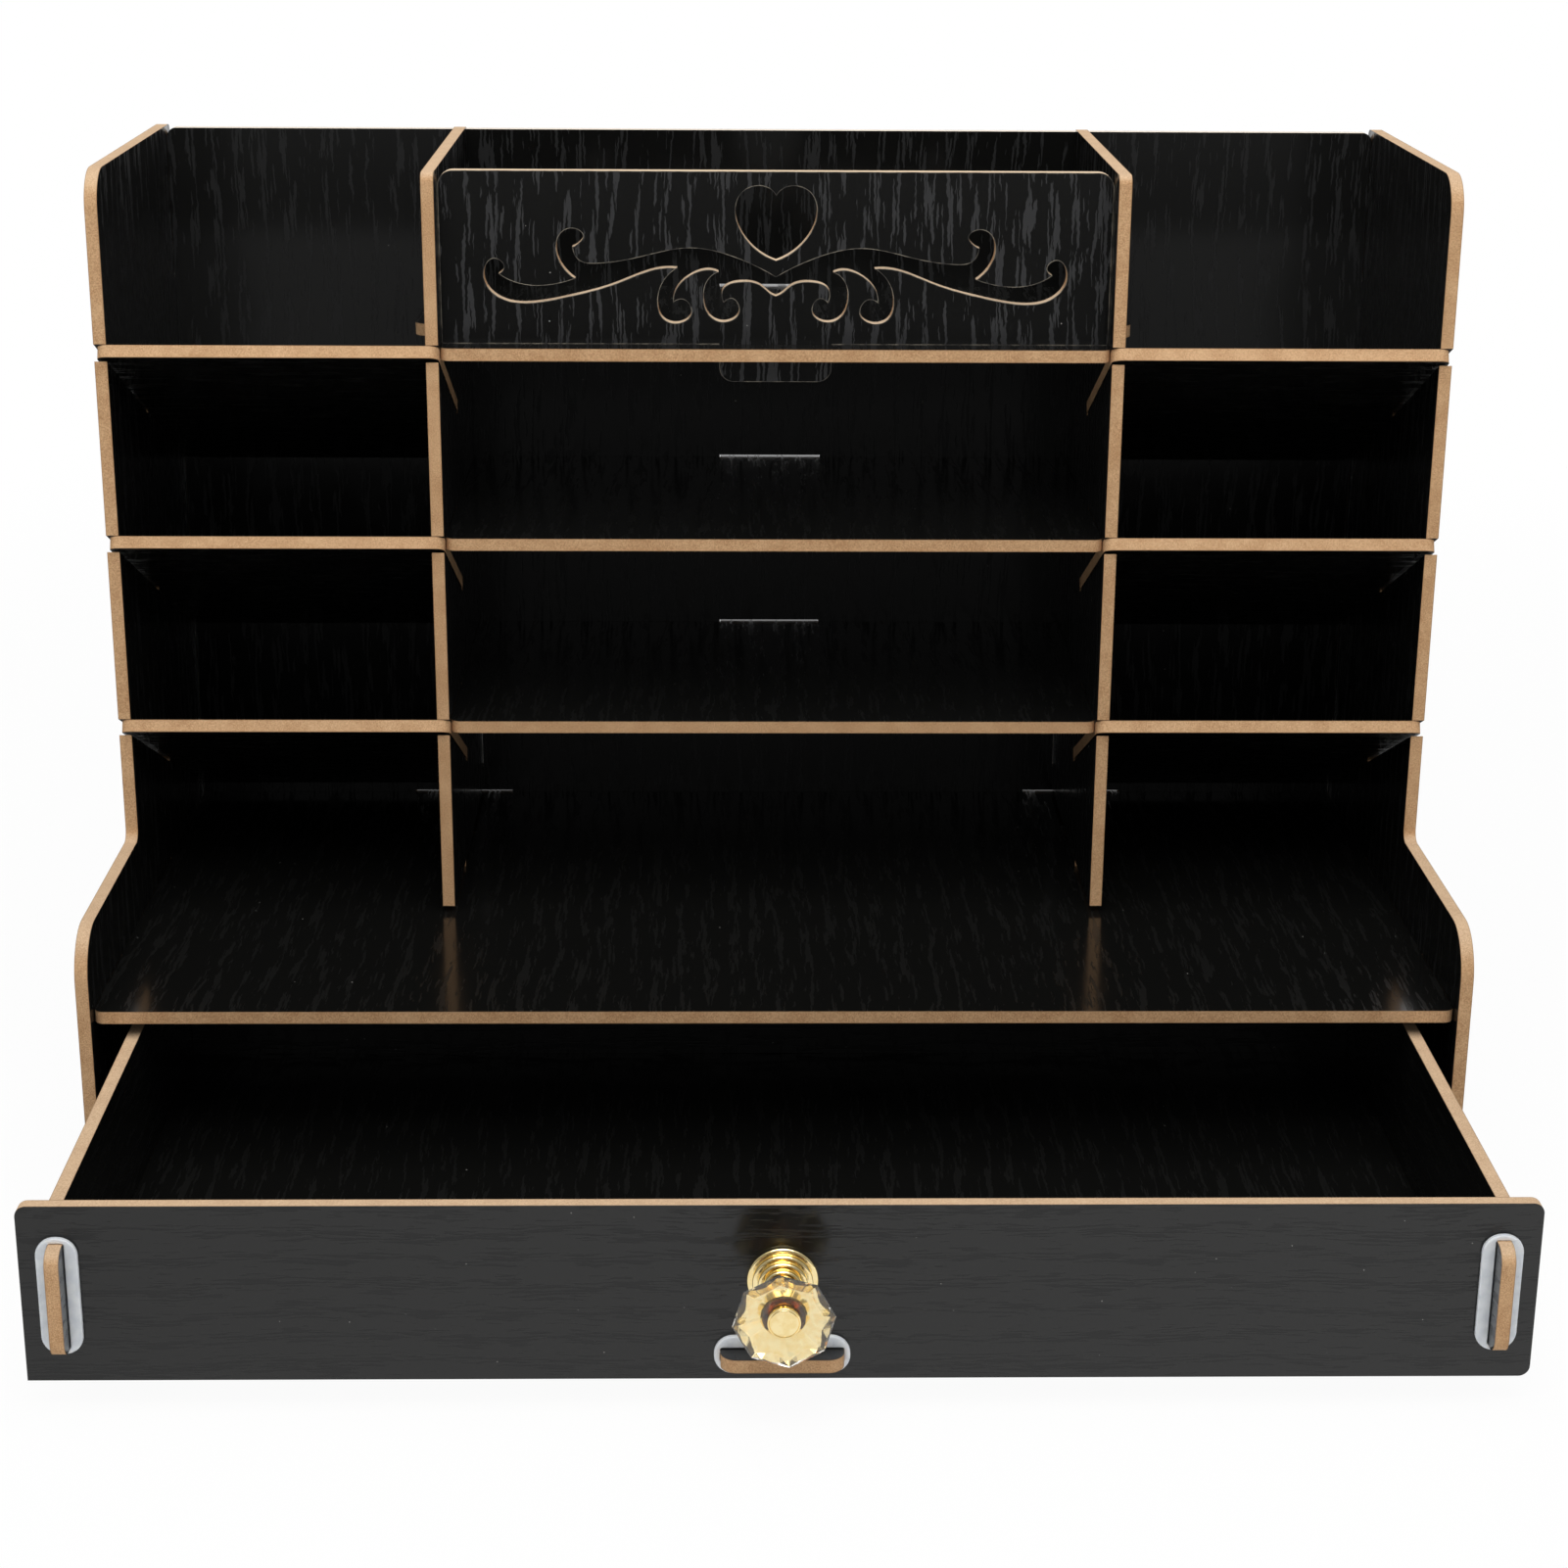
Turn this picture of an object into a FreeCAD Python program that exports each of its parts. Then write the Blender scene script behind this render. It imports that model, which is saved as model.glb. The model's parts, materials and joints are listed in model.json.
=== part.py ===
import FreeCAD, Part
import math
import os

import Sketcher
from FreeCAD import Placement, Rotation, Vector

# Pen holder with a drawer, built from flat boards that slot into each other.
# Millimetres. X runs to the right, Y to the back and Z up. The origin lies on the table, in the
# mid-plane of the holder, under the middle of the back panel's thickness. The drawer stands part open.

# Driving sizes, each one set by itself.
SIZES = {
    # Boards and the way they join
    "board": 3.1,  # thickness of every board
    "end_gap": 0.1,  # between the end of a board and the face that it meets
    "tab_gap": 0.1,  # round a tab in its slot
    "tab_length": 27.6,  # tabs of the shelves, the base and the carved panel
    "tab_reach": 6.2,  # how far a tab stands out of the board that it passes
    "tab_corner": 3.5,  # rounding of a tab that stands out
    "board_corner": 2.4,  # rounding of a board's free corners
    # Carcass
    "carcass_width": 330,  # over the outer faces of the side panels
    "upper_depth": 96.2,  # from the front of the upper part to the back panel
    "ledge_depth": 68.3,  # how far the lower part stands out in front of the upper part
    "rear_margin": 2.1,  # side panels behind the back panel
    "base_lift": 4.7,  # table to the underside of the base board
    "shelf_to_top": 188.2,  # top of the front shelf to the top of the side panels
    "ledge_rise": 19.9,  # top of the front shelf to the ledge of the side panels
    "front_inset": 2.8,  # front shelf and base board behind the side panels' lower front edge
    "back_panel_drop": 0.6,  # back panel below the side panels' top
    "top_corner": 9,  # rounding of the side panels' top front corner
    "ledge_corner": 12,  # rounding of the side panels' ledge at the front
    "inner_corner": 3,  # rounding where the ledge meets the upper front edge
    # Compartments
    "centre_width": 163.7,  # between the two dividers
    "shelf_angle": 25.5,  # fall of the side shelves towards the back, in degrees
    "lower_shelf_rise": 51.9,  # top of the front shelf to the lowest side shelf's front edge
    "shelf_pitch": 47.45,  # from one level of shelves to the next
    "centre_shelf_drop": 1.0,  # centre shelf below the front edge of the side shelves
    "centre_shelf_inset": 2.0,  # centre shelves behind the dividers' front edge
    "lap_depth": 48.5,  # depth of the slanted slots, measured level from the front
    "lap_gap_above": 0.1,  # slanted slot above its shelf
    "lap_gap_below": 0.6,  # slanted slot below its shelf
    "lap_gap_end": 0.3,  # between a slot's bottom and the shelf's shoulder
    "lap_end_inset": 0.6,  # end of a side shelf inside the outer face of the side panel
    "divider_foot_gap": 1.7,  # front shelf to the dividers' lower edge
    "side_tab_setback": 36,  # dividers' front edge to the side tabs of the centre shelves
    "divider_tab_rise": 21.6,  # top of the front shelf to the dividers' lower back tab
    "divider_tab_pitch": 127,  # from the dividers' lower back tab to the upper one
    "divider_slot_slack": 4.3,  # spare length of the slots for the dividers' back tabs
    "back_slot_headroom": 0.5,  # back panel's slots above the tabs of the shelves
    "back_tab_spread": 174.8,  # between the centres of the two back tabs of a wide board
    "front_side_tab": 50,  # front edge of the front shelf or base to its first side tab's centre
    "side_tab_pitch": 70,  # from that tab to the next one on the same side
    "panel_tab_rise": 30,  # table to the centre of the back panel's lower side tab
    "panel_tab_pitch": 160,  # from that tab to the upper one
    # Carved panel
    "carved_panel_inset": 8.9,  # carved panel behind the dividers' front edge
    "carved_panel_drop": 0.5,  # carved panel below the side panels' top
    "carved_corner": 3.7,  # rounding of the carved panel's top corners
    "carving_middle": 20.9,  # height in the carving that lies at the panel's middle
    # Drawer
    "drawer_open": 85.4,  # how far the drawer stands open
    "drawer_height": 41.2,  # boards round the drawer
    "drawer_gap": 0.3,  # under the drawer
    "drawer_headroom": 3.7,  # over the drawer
    "drawer_side_gap": 0.5,  # drawer front to each side panel
    "drawer_stop_gap": 0.4,  # rear tabs to the back panel when the drawer is shut
    "side_inset": 6.8,  # end of the drawer's front to the outer face of its side board
    "bottom_rise": 4.7,  # drawer's bottom board above the lower edge of its sides
    "side_board_tab": 24.6,  # tabs of the drawer's side boards
    "bottom_board_tab": 26.4,  # tabs of the drawer's bottom board
    # Rings that lock the tabs
    "ring_thickness": 1.2,
    "ring_wall": 2.8,  # beside the tab
    "ring_end_wall": 1.3,  # past the ends of the tab
    "ring_corner": 4.2,
    # Knob, measured out from the drawer's front
    "knob_rise": 3.2,  # knob's axis above the middle of the drawer front
    "knob_step": 1.2,  # height of each of the rosette's four steps
    "rosette_radius": 7.65,
    "rosette_ease": 1.15,  # how much smaller each step of the rosette is
    "neck_radius": 3.3,
    "neck_length": 3.4,
    "collar_radius": 4.9,
    "collar_length": 1.0,
    "crystal_length": 9.8,
    "crystal_radius": 10.85,  # over the eight corners of the girdle
    "crystal_rear_radius": 5.6,
    "crystal_front_radius": 10.3,
    "girdle_setback": 0.5,  # girdle behind the crystal's front
    "crystal_twist": 6.0,  # turn of the eight corners about the axis, in degrees
    "cap_radius": 3.5,
    "cap_length": 0.5,
    "pin_radius": 1.6,
    "pin_bite": 2.5,  # length of the cap's pin inside the neck
    "screw_radius": 2.0,
    "screw_bite": 4.0,  # length of the screw inside the rosette
    "screw_head_radius": 3.8,
    "screw_head_height": 2.0,
    "bore_gap": 0.05,  # round the screw and the pin
}

# Places worked out from the driving sizes, in the frame above.
PLACES = {
    # Levels along Y
    "back_rear": "=Sizes.board / 2",
    "back_front": "=-Sizes.board / 2",
    "side_rear": "=back_rear + Sizes.rear_margin",
    "upper_front": "=back_front - Sizes.upper_depth",
    "lower_front": "=upper_front - Sizes.ledge_depth",
    "wide_front": "=lower_front + Sizes.front_inset",
    "wide_rear": "=back_front - Sizes.end_gap",
    "centre_front": "=upper_front + Sizes.centre_shelf_inset",
    "carved_front": "=upper_front + Sizes.carved_panel_inset",
    # Levels along X, measured from the mid-plane
    "side_outer": "=Sizes.carcass_width / 2",
    "side_inner": "=side_outer - Sizes.board",
    "wide_half": "=side_inner - Sizes.end_gap",
    "divider_inner": "=Sizes.centre_width / 2",
    "divider_outer": "=divider_inner + Sizes.board",
    "divider_middle": "=divider_inner + Sizes.board / 2",
    "centre_half": "=divider_inner - Sizes.end_gap",
    # Levels along Z
    "base_top": "=Sizes.base_lift + Sizes.board",
    "drawer_foot": "=base_top + Sizes.drawer_gap",
    "front_shelf_foot": "=drawer_foot + Sizes.drawer_height + Sizes.drawer_headroom",
    "front_shelf_top": "=front_shelf_foot + Sizes.board",
    "ledge": "=front_shelf_top + Sizes.ledge_rise",
    "top": "=front_shelf_top + Sizes.shelf_to_top",
    "back_top": "=top - Sizes.back_panel_drop",
    "side_shelf_1": "=front_shelf_top + Sizes.lower_shelf_rise",
    "side_shelf_2": "=side_shelf_1 + Sizes.shelf_pitch",
    "side_shelf_3": "=side_shelf_2 + Sizes.shelf_pitch",
    "centre_shelf_1": "=side_shelf_1 - Sizes.centre_shelf_drop",
    "centre_shelf_2": "=side_shelf_2 - Sizes.centre_shelf_drop",
    "centre_shelf_3": "=side_shelf_3 - Sizes.centre_shelf_drop",
    "carved_height": "=top - Sizes.carved_panel_drop - centre_shelf_3",
    "divider_foot": "=front_shelf_top + Sizes.divider_foot_gap",
    # Tabs: how far each one stands out of its own board, and where its centre lies
    "flush_reach": "=Sizes.end_gap + Sizes.board",
    "long_reach": "=flush_reach + Sizes.tab_reach",
    "back_reach": "=flush_reach + Sizes.rear_margin",
    "back_tab": "=Sizes.back_tab_spread / 2",
    "centre_tab": "=upper_front + Sizes.side_tab_setback + Sizes.tab_length / 2",
    "wide_tab_1": "=wide_front + Sizes.front_side_tab",
    "wide_tab_2": "=wide_tab_1 + Sizes.side_tab_pitch",
    "foot_tab": "=(upper_front + back_front) / 2",
    "carved_tab": "=carved_front + Sizes.board / 2",
    "panel_tab_1": "=Sizes.panel_tab_rise",
    "panel_tab_2": "=panel_tab_1 + Sizes.panel_tab_pitch",
    "divider_tab_1": "=front_shelf_top + Sizes.divider_tab_rise",
    "divider_tab_2": "=divider_tab_1 + Sizes.divider_tab_pitch",
    # Slanted side shelves
    "slope_cos": "=cos(Sizes.shelf_angle * 1deg)",
    "slope_sin": "=sin(Sizes.shelf_angle * 1deg)",
    "lap_run": "=Sizes.lap_depth / slope_cos",
    "shelf_run": "=(Sizes.upper_depth - Sizes.end_gap) / slope_cos",
    "shelf_start": "=upper_front - Sizes.board * slope_sin",
    "shelf_sink": "=Sizes.board * slope_cos",
    # Drawer
    "drawer_face": "=lower_front - Sizes.drawer_open",
    "drawer_inside": "=drawer_face + Sizes.board",
    "drawer_run": "=Sizes.upper_depth + Sizes.ledge_depth - Sizes.drawer_stop_gap"
    " - Sizes.tab_reach - 2 * Sizes.board",
    "drawer_rear": "=drawer_inside + drawer_run",
    "drawer_half": "=side_inner - Sizes.drawer_side_gap",
    "drawer_side_outer": "=drawer_half - Sizes.side_inset",
    "drawer_side_inner": "=drawer_side_outer - Sizes.board",
    "drawer_side_middle": "=drawer_side_outer - Sizes.board / 2",
    "drawer_middle": "=Sizes.drawer_height / 2",
    "bottom_middle": "=Sizes.bottom_rise + Sizes.board / 2",
    # Knob
    "knob_height": "=drawer_middle + Sizes.knob_rise",
    "rosette_length": "=4 * Sizes.knob_step",
    "neck_end": "=rosette_length + Sizes.neck_length",
    "crystal_rear": "=neck_end + Sizes.collar_length",
    "crystal_front": "=crystal_rear + Sizes.crystal_length",
    "girdle": "=crystal_front - Sizes.girdle_setback",
    "knob_length": "=crystal_front + Sizes.cap_length",
}

# Right half of the carved heart: from the notch round to the tip, as (distance from the axis, height).
HEART = [(0, 36.0), (3.6, 38.4), (8.2, 36.9), (9.9, 32.5), (8.5, 27.5), (3.9, 22.4), (0, 20.4)]

# Right half of the carved scroll. Each stretch is one smooth curve and meets the next in a corner.
SCROLL = [
    # Upper edge, from the axis to the inside of the upper curl
    [(0, 16.4), (9.0, 20.8), (21.1, 23.4), (33.8, 21.0), (43.0, 19.6), (47.5, 20.1), (49.5, 23.6)],
    # Upper curl
    [(49.5, 23.6), (47.7, 24.7), (46.8, 26.3), (48.9, 28.0), (52.3, 26.8), (53.4, 23.5), (52.1, 19.2),
     (48.9, 15.9)],
    # Upper edge of the outer branch
    [(48.9, 15.9), (55.3, 14.3), (61.9, 14.5), (67.5, 17.0)],
    # Outer curl and the long lower edge
    [(67.5, 17.0), (66.4, 19.5), (68.6, 20.7), (70.8, 18.6), (70.5, 14.3), (66.5, 10.8), (59.4, 10.0),
     (50.2, 11.6), (39.0, 14.7), (27.8, 18.5), (24.1, 18.5)],
    # Outer one of the two small curls
    [(24.1, 18.5), (27.3, 15.5), (28.8, 10.9), (27.6, 6.3), (23.8, 5.1), (20.7, 7.4), (21.6, 10.3),
     (25.1, 10.1)],
    [(25.1, 10.1), (24.5, 13.2), (21.2, 16.6), (16.1, 18.2), (14.0, 17.6)],
    # Inner one of the two small curls, and the edge back to the axis
    [(14.0, 17.6), (16.6, 15.6), (17.6, 11.0), (15.8, 6.6), (12.0, 5.5), (9.0, 7.9), (10.1, 10.9),
     (12.8, 10.1)],
    [(12.8, 10.1), (12.5, 14.0), (8.4, 15.3), (3.6, 14.3), (1.0, 12.2), (0, 11.8)],
]

doc = FreeCAD.newDocument("PenHolder")
pieces = []


def fill_sheet(name, rows):
    """Make a spreadsheet whose rows hold a name and a number or formula, with the name as alias."""
    sheet = doc.addObject("Spreadsheet::Sheet", name)
    for row, (alias, content) in enumerate(rows.items(), start=1):
        sheet.set(f"A{row}", alias)
        sheet.set(f"B{row}", str(content))
        sheet.setAlias(f"B{row}", alias)
    doc.recompute()
    return sheet


sizes = fill_sheet("Sizes", SIZES)
places = fill_sheet("Places", PLACES)


def value(text):
    """Number that an expression over the two sheets gives now."""
    return float(places.evalExpression(text))


def place(piece, across="0", along="0", up="0"):
    """Bind the place of a piece to expressions for X, Y and Z."""
    for axis, text in zip("xyz", (across, along, up)):
        piece.setExpression(f"Placement.Base.{axis}", text)


def new_sketch(body, name, plane):
    """Start a sketch on one of the body's own origin planes."""
    sketch = body.newObject("Sketcher::SketchObject", f"{body.Name}_{name}")
    support = next(item for item in body.Origin.OriginFeatures if item.Role == plane)
    sketch.AttachmentSupport = (support, "")
    sketch.MapMode = "FlatFace"
    doc.recompute()
    return sketch


def draw_loops(sketch, loops):
    """Draw closed loops of lines whose corners are placed by pairs of expressions."""
    for loop in loops:
        spots = [Vector(value(corner[0]), value(corner[1]), 0) for corner in loop]
        first = sketch.GeometryCount
        for start, end in zip(spots, spots[1:] + spots[:1]):
            sketch.addGeometry(Part.LineSegment(start, end), False)
        for step, (corner, spot) in enumerate(zip(loop, spots)):
            line = first + step
            following = first + (step + 1) % len(loop)
            sketch.addConstraint(Sketcher.Constraint("Coincident", line, 2, following, 1))
            for kind, text, number in (("DistanceX", corner[0], spot.x), ("DistanceY", corner[1], spot.y)):
                index = sketch.addConstraint(Sketcher.Constraint(kind, -1, 1, line, 1, number))
                sketch.setExpression(f"Constraints[{index}]", text)
    doc.recompute()


def draw_curves(sketch, half_outline, lift):
    """Draw smooth stretches and their mirror images in the vertical axis as one closed loop."""
    for side in (1, -1):
        for stretch in half_outline:
            curve = Part.BSplineCurve()
            curve.interpolate([Vector(side * across, height + lift, 0) for across, height in stretch])
            sketch.addGeometry(curve, False)
    doc.recompute()


def stands_on(edge, spots, normal):
    """Tell whether a straight edge runs along the normal through one of the spots."""
    if not isinstance(edge.Curve, Part.Line):
        return False
    start, end = edge.Vertexes[0].Point, edge.Vertexes[1].Point
    if abs(abs((end - start).normalize().dot(normal)) - 1) > 1e-6:
        return False
    return any((start - spot).cross(normal).Length < 1e-4 for spot in spots)


def round_corners(body, feature, sketch, outline):
    """Round the corners of a board that name a radius, one fillet for each radius."""
    groups = {}
    for corner in outline:
        if len(corner) == 3:
            spot = sketch.Placement.multVec(Vector(value(corner[0]), value(corner[1]), 0))
            groups.setdefault(corner[2], []).append(spot)
    normal = sketch.Placement.Rotation.multVec(Vector(0, 0, 1))
    for radius, spots in groups.items():
        edges = [
            f"Edge{number}"
            for number, edge in enumerate(feature.Shape.Edges, start=1)
            if stands_on(edge, spots, normal)
        ]
        fillet = body.newObject("PartDesign::Fillet", f"{body.Name}_{radius}")
        fillet.Base = (feature, edges)
        fillet.setExpression("Radius", f"Sizes.{radius}")
        doc.recompute()
        feature = fillet


def cut_through(body, sketch):
    """Cut a sketch that lies on the board's rear face through the board."""
    before = body.Shape.Volume
    pocket = body.newObject("PartDesign::Pocket", f"{sketch.Name}_cut")
    pocket.Profile = sketch
    pocket.Type = "ThroughAll"
    pocket.Reversed = True
    doc.recompute()
    if body.Shape.Volume >= before:
        raise RuntimeError(f"{sketch.Name} cuts nothing")


def flat_board(name, plane, outline, slots=(), thickness="Sizes.board"):
    """Make one board: its outline on a plane, padded along the plane's normal, with its slots cut."""
    body = doc.addObject("PartDesign::Body", name)
    body.Label = name
    sketch = new_sketch(body, "outline", plane)
    draw_loops(sketch, [outline])
    pad = body.newObject("PartDesign::Pad", f"{name}_pad")
    pad.Profile = sketch
    pad.setExpression("Length", thickness)
    doc.recompute()
    round_corners(body, pad, sketch, outline)
    if slots:
        slot_sketch = new_sketch(body, "slots", plane)
        draw_loops(slot_sketch, slots)
        cut_through(body, slot_sketch)
    pieces.append(body)
    return body


def tab_corners(centre, length, reach, direction, rounded):
    """Four corners of a tab, as (place along the side, distance out of the side, radius)."""
    near = f"{centre} - {direction} * {length} / 2"
    far = f"{centre} + {direction} * {length} / 2"
    radius = ("tab_corner",) if rounded else ()
    return [(near, "0"), (near, reach, *radius), (far, reach, *radius), (far, "0")]


def tabbed_board(low_x, high_x, low_y, high_y, tabs=(), corners=("", "", "", "")):
    """Outline of a rectangle with tabs, counter-clockwise from its lower left corner.

    Each tab is (side, centre, length, reach, rounded), and corners names the radius of the lower
    left, lower right, upper right and upper left corners.
    """
    starts = {"low": (low_x, low_y), "right": (high_x, low_y), "high": (high_x, high_y), "left": (low_x, high_y)}
    outline = []
    for (side, start), radius in zip(starts.items(), corners):
        outline.append((*start, radius) if radius else start)
        direction = 1 if side in ("low", "right") else -1
        own = [tab[1:] for tab in tabs if tab[0] == side]
        own.sort(key=lambda tab: direction * value(tab[0]))
        for centre, length, reach, rounded in own:
            for spot, out, *radius_name in tab_corners(centre, length, reach, direction, rounded):
                outline.append({
                    "low": (spot, f"{low_y} - ({out})", *radius_name),
                    "right": (f"{high_x} + ({out})", spot, *radius_name),
                    "high": (spot, f"{high_y} + ({out})", *radius_name),
                    "left": (f"{low_x} - ({out})", spot, *radius_name),
                }[side])
    return outline


def tab_slot(centre, middle, length, upright, slack_low="0", slack_high="0"):
    """Slot for a tab: centre along the tab, middle of the tab's thickness, and any spare room.

    An upright slot has its length along the sketch's vertical axis, and its slack at its ends. A
    level slot has its slack below and above.
    """
    half_length = f"({length} / 2 + Sizes.tab_gap)"
    half_width = "(Sizes.board / 2 + Sizes.tab_gap)"
    half_x, half_y = (half_width, half_length) if upright else (half_length, half_width)
    x, y = (middle, centre) if upright else (centre, middle)
    left, right = f"{x} - {half_x}", f"{x} + {half_x}"
    low, high = f"{y} - {half_y} - {slack_low}", f"{y} + {half_y} + {slack_high}"
    return [(left, low), (right, low), (right, high), (left, high)]


def lap_slot(height):
    """Slanted slot that opens at the upper front edge and holds a side shelf at the height given."""
    corners = []
    for along, across in (
        ("-Sizes.board", "-(Sizes.board + Sizes.lap_gap_below)"),
        ("Places.lap_run", "-(Sizes.board + Sizes.lap_gap_below)"),
        ("Places.lap_run", "Sizes.lap_gap_above"),
        ("-Sizes.board", "Sizes.lap_gap_above"),
    ):
        corners.append((
            f"Places.upper_front + {along} * Places.slope_cos + {across} * Places.slope_sin",
            f"{height} - {along} * Places.slope_sin + {across} * Places.slope_cos",
        ))
    return corners


def side_panel(name, across):
    """Make one side panel with its slots for the shelves, the base and the back panel."""
    outline = [
        ("Places.lower_front", "0"),
        ("Places.side_rear", "0"),
        ("Places.side_rear", "Places.top", "board_corner"),
        ("Places.upper_front", "Places.top", "top_corner"),
        ("Places.upper_front", "Places.ledge", "inner_corner"),
        ("Places.lower_front", "Places.ledge", "ledge_corner"),
    ]
    slots = [lap_slot(f"Places.side_shelf_{level}") for level in (1, 2, 3)]
    for centre in ("Places.wide_tab_1", "Places.wide_tab_2"):
        for foot in ("Places.front_shelf_foot", "Sizes.base_lift"):
            slots.append(tab_slot(centre, f"{foot} + Sizes.board / 2", "Sizes.tab_length", False))
    for centre in ("Places.panel_tab_1", "Places.panel_tab_2"):
        slots.append(tab_slot(centre, "0", "Sizes.tab_length", True))
    place(flat_board(name, "YZ_Plane", outline, slots), across=across)


def divider(name, across):
    """Make one divider, which stands on the front shelf and holds the centre and side shelves."""
    reach = "Sizes.divider_foot_gap + Sizes.board"
    tabs = [("low", "Places.foot_tab", "Sizes.tab_length", reach, False)]
    for centre in ("Places.divider_tab_1", "Places.divider_tab_2"):
        tabs.append(("right", centre, "Sizes.tab_length", "Places.back_reach", False))
    outline = tabbed_board(
        "Places.upper_front", "Places.wide_rear", "Places.divider_foot", "Places.top",
        tabs, ("", "", "", "board_corner"),
    )
    slots = [lap_slot(f"Places.side_shelf_{level}") for level in (1, 2, 3)]
    for level in (1, 2, 3):
        middle = f"Places.centre_shelf_{level} - Sizes.board / 2"
        slots.append(tab_slot("Places.centre_tab", middle, "Sizes.tab_length", False))
    place(flat_board(name, "YZ_Plane", outline, slots), across=across)


def back_panel():
    """Make the back panel, with side tabs and a slot for each tab that comes through it."""
    tabs = [
        (side, centre, "Sizes.tab_length", "Places.flush_reach", False)
        for side in ("left", "right")
        for centre in ("Places.panel_tab_1", "Places.panel_tab_2")
    ]
    outline = tabbed_board(
        "-Places.wide_half", "Places.wide_half", "0", "Places.back_top",
        tabs, ("", "", "board_corner", "board_corner"),
    )
    slots = []
    for level in (1, 2, 3):
        middle = f"Places.centre_shelf_{level} - Sizes.board / 2"
        slots.append(tab_slot("0", middle, "Sizes.tab_length", False, "0", "Sizes.back_slot_headroom"))
    for side in ("", "-"):
        for foot in ("Places.front_shelf_foot", "Sizes.base_lift"):
            slots.append(tab_slot(
                f"{side}Places.back_tab", f"{foot} + Sizes.board / 2", "Sizes.tab_length", False,
                "0", "Sizes.back_slot_headroom",
            ))
        for centre in ("Places.divider_tab_1", "Places.divider_tab_2"):
            slots.append(tab_slot(
                centre, f"{side}Places.divider_middle", "Sizes.tab_length", True,
                "0", "Sizes.divider_slot_slack",
            ))
    place(flat_board("back_panel", "XZ_Plane", outline, slots), along="Places.back_rear")


def wide_board(name, up, slots=()):
    """Make a board that fills the carcass from side to side: the front shelf or the base."""
    tabs = [
        (side, centre, "Sizes.tab_length", "Places.long_reach", True)
        for side in ("left", "right")
        for centre in ("Places.wide_tab_1", "Places.wide_tab_2")
    ]
    for side in ("", "-"):
        tabs.append(("high", f"{side}Places.back_tab", "Sizes.tab_length", "Places.back_reach", False))
    outline = tabbed_board(
        "-Places.wide_half", "Places.wide_half", "Places.wide_front", "Places.wide_rear",
        tabs, ("board_corner", "board_corner", "", ""),
    )
    place(flat_board(name, "XY_Plane", outline, slots), up=up)


def centre_shelf(name, level, side_reach, rounded, slots=()):
    """Make one level shelf between the dividers."""
    tabs = [
        ("left", "Places.centre_tab", "Sizes.tab_length", side_reach, rounded),
        ("right", "Places.centre_tab", "Sizes.tab_length", side_reach, rounded),
        ("high", "0", "Sizes.tab_length", "Places.back_reach", False),
    ]
    outline = tabbed_board(
        "-Places.centre_half", "Places.centre_half", "Places.centre_front", "Places.wide_rear",
        tabs, ("board_corner", "board_corner", "", ""),
    )
    place(flat_board(name, "XY_Plane", outline, slots), up=f"Places.centre_shelf_{level} - Sizes.board")


def side_shelf(name, level, side):
    """Make one slanted shelf, wide at the front where it laps the panels and narrow behind them."""
    shoulder = "Places.lap_run - Sizes.lap_gap_end"
    wide = ("Places.divider_inner", "Places.side_outer - Sizes.lap_end_inset")
    narrow = ("Places.divider_outer + Sizes.end_gap", "Places.side_inner - Sizes.end_gap")
    outline = [
        (f"{side} * ({wide[0]})", "0", "board_corner"),
        (f"{side} * ({wide[1]})", "0", "board_corner"),
        (f"{side} * ({wide[1]})", shoulder),
        (f"{side} * ({narrow[1]})", shoulder),
        (f"{side} * ({narrow[1]})", "Places.shelf_run"),
        (f"{side} * ({narrow[0]})", "Places.shelf_run"),
        (f"{side} * ({narrow[0]})", shoulder),
        (f"{side} * ({wide[0]})", shoulder),
    ]
    shelf = flat_board(name, "XY_Plane", outline)
    shelf.Placement = Placement(Vector(), Rotation(Vector(-1, 0, 0), value("Sizes.shelf_angle")))
    shelf.setExpression("Placement.Rotation.Angle", "Sizes.shelf_angle")
    place(shelf, along="Places.shelf_start", up=f"Places.side_shelf_{level} - Places.shelf_sink")


def carved_panel():
    """Make the panel in front of the top compartment, with its heart and scroll cut through."""
    outline = tabbed_board(
        "-Places.centre_half", "Places.centre_half", "0", "Places.carved_height",
        [("low", "0", "Sizes.tab_length", "Sizes.board + Sizes.tab_reach", True)],
        ("", "", "carved_corner", "carved_corner"),
    )
    panel = flat_board("carved_panel", "XZ_Plane", outline)
    lift = value("Places.carved_height / 2 - Sizes.carving_middle")
    for name, half_outline in (("heart", [HEART]), ("scroll", SCROLL)):
        sketch = new_sketch(panel, name, "XZ_Plane")
        draw_curves(sketch, half_outline, lift)
        cut_through(panel, sketch)
    place(panel, along="Places.carved_front + Sizes.board", up="Places.centre_shelf_3")


def drawer_end(name, along, slots=()):
    """Make the drawer's front or back board."""
    own_slots = [
        tab_slot("Places.drawer_middle", f"{side}Places.drawer_side_middle", "Sizes.side_board_tab", True)
        for side in ("-", "")
    ]
    own_slots.append(tab_slot("0", "Places.bottom_middle", "Sizes.bottom_board_tab", False))
    outline = tabbed_board(
        "-Places.drawer_half", "Places.drawer_half", "0", "Sizes.drawer_height",
        corners=("", "board_corner", "board_corner", "board_corner"),
    )
    board = flat_board(name, "XZ_Plane", outline, [*own_slots, *slots])
    place(board, along=along, up="Places.drawer_foot")
    return board


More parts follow.
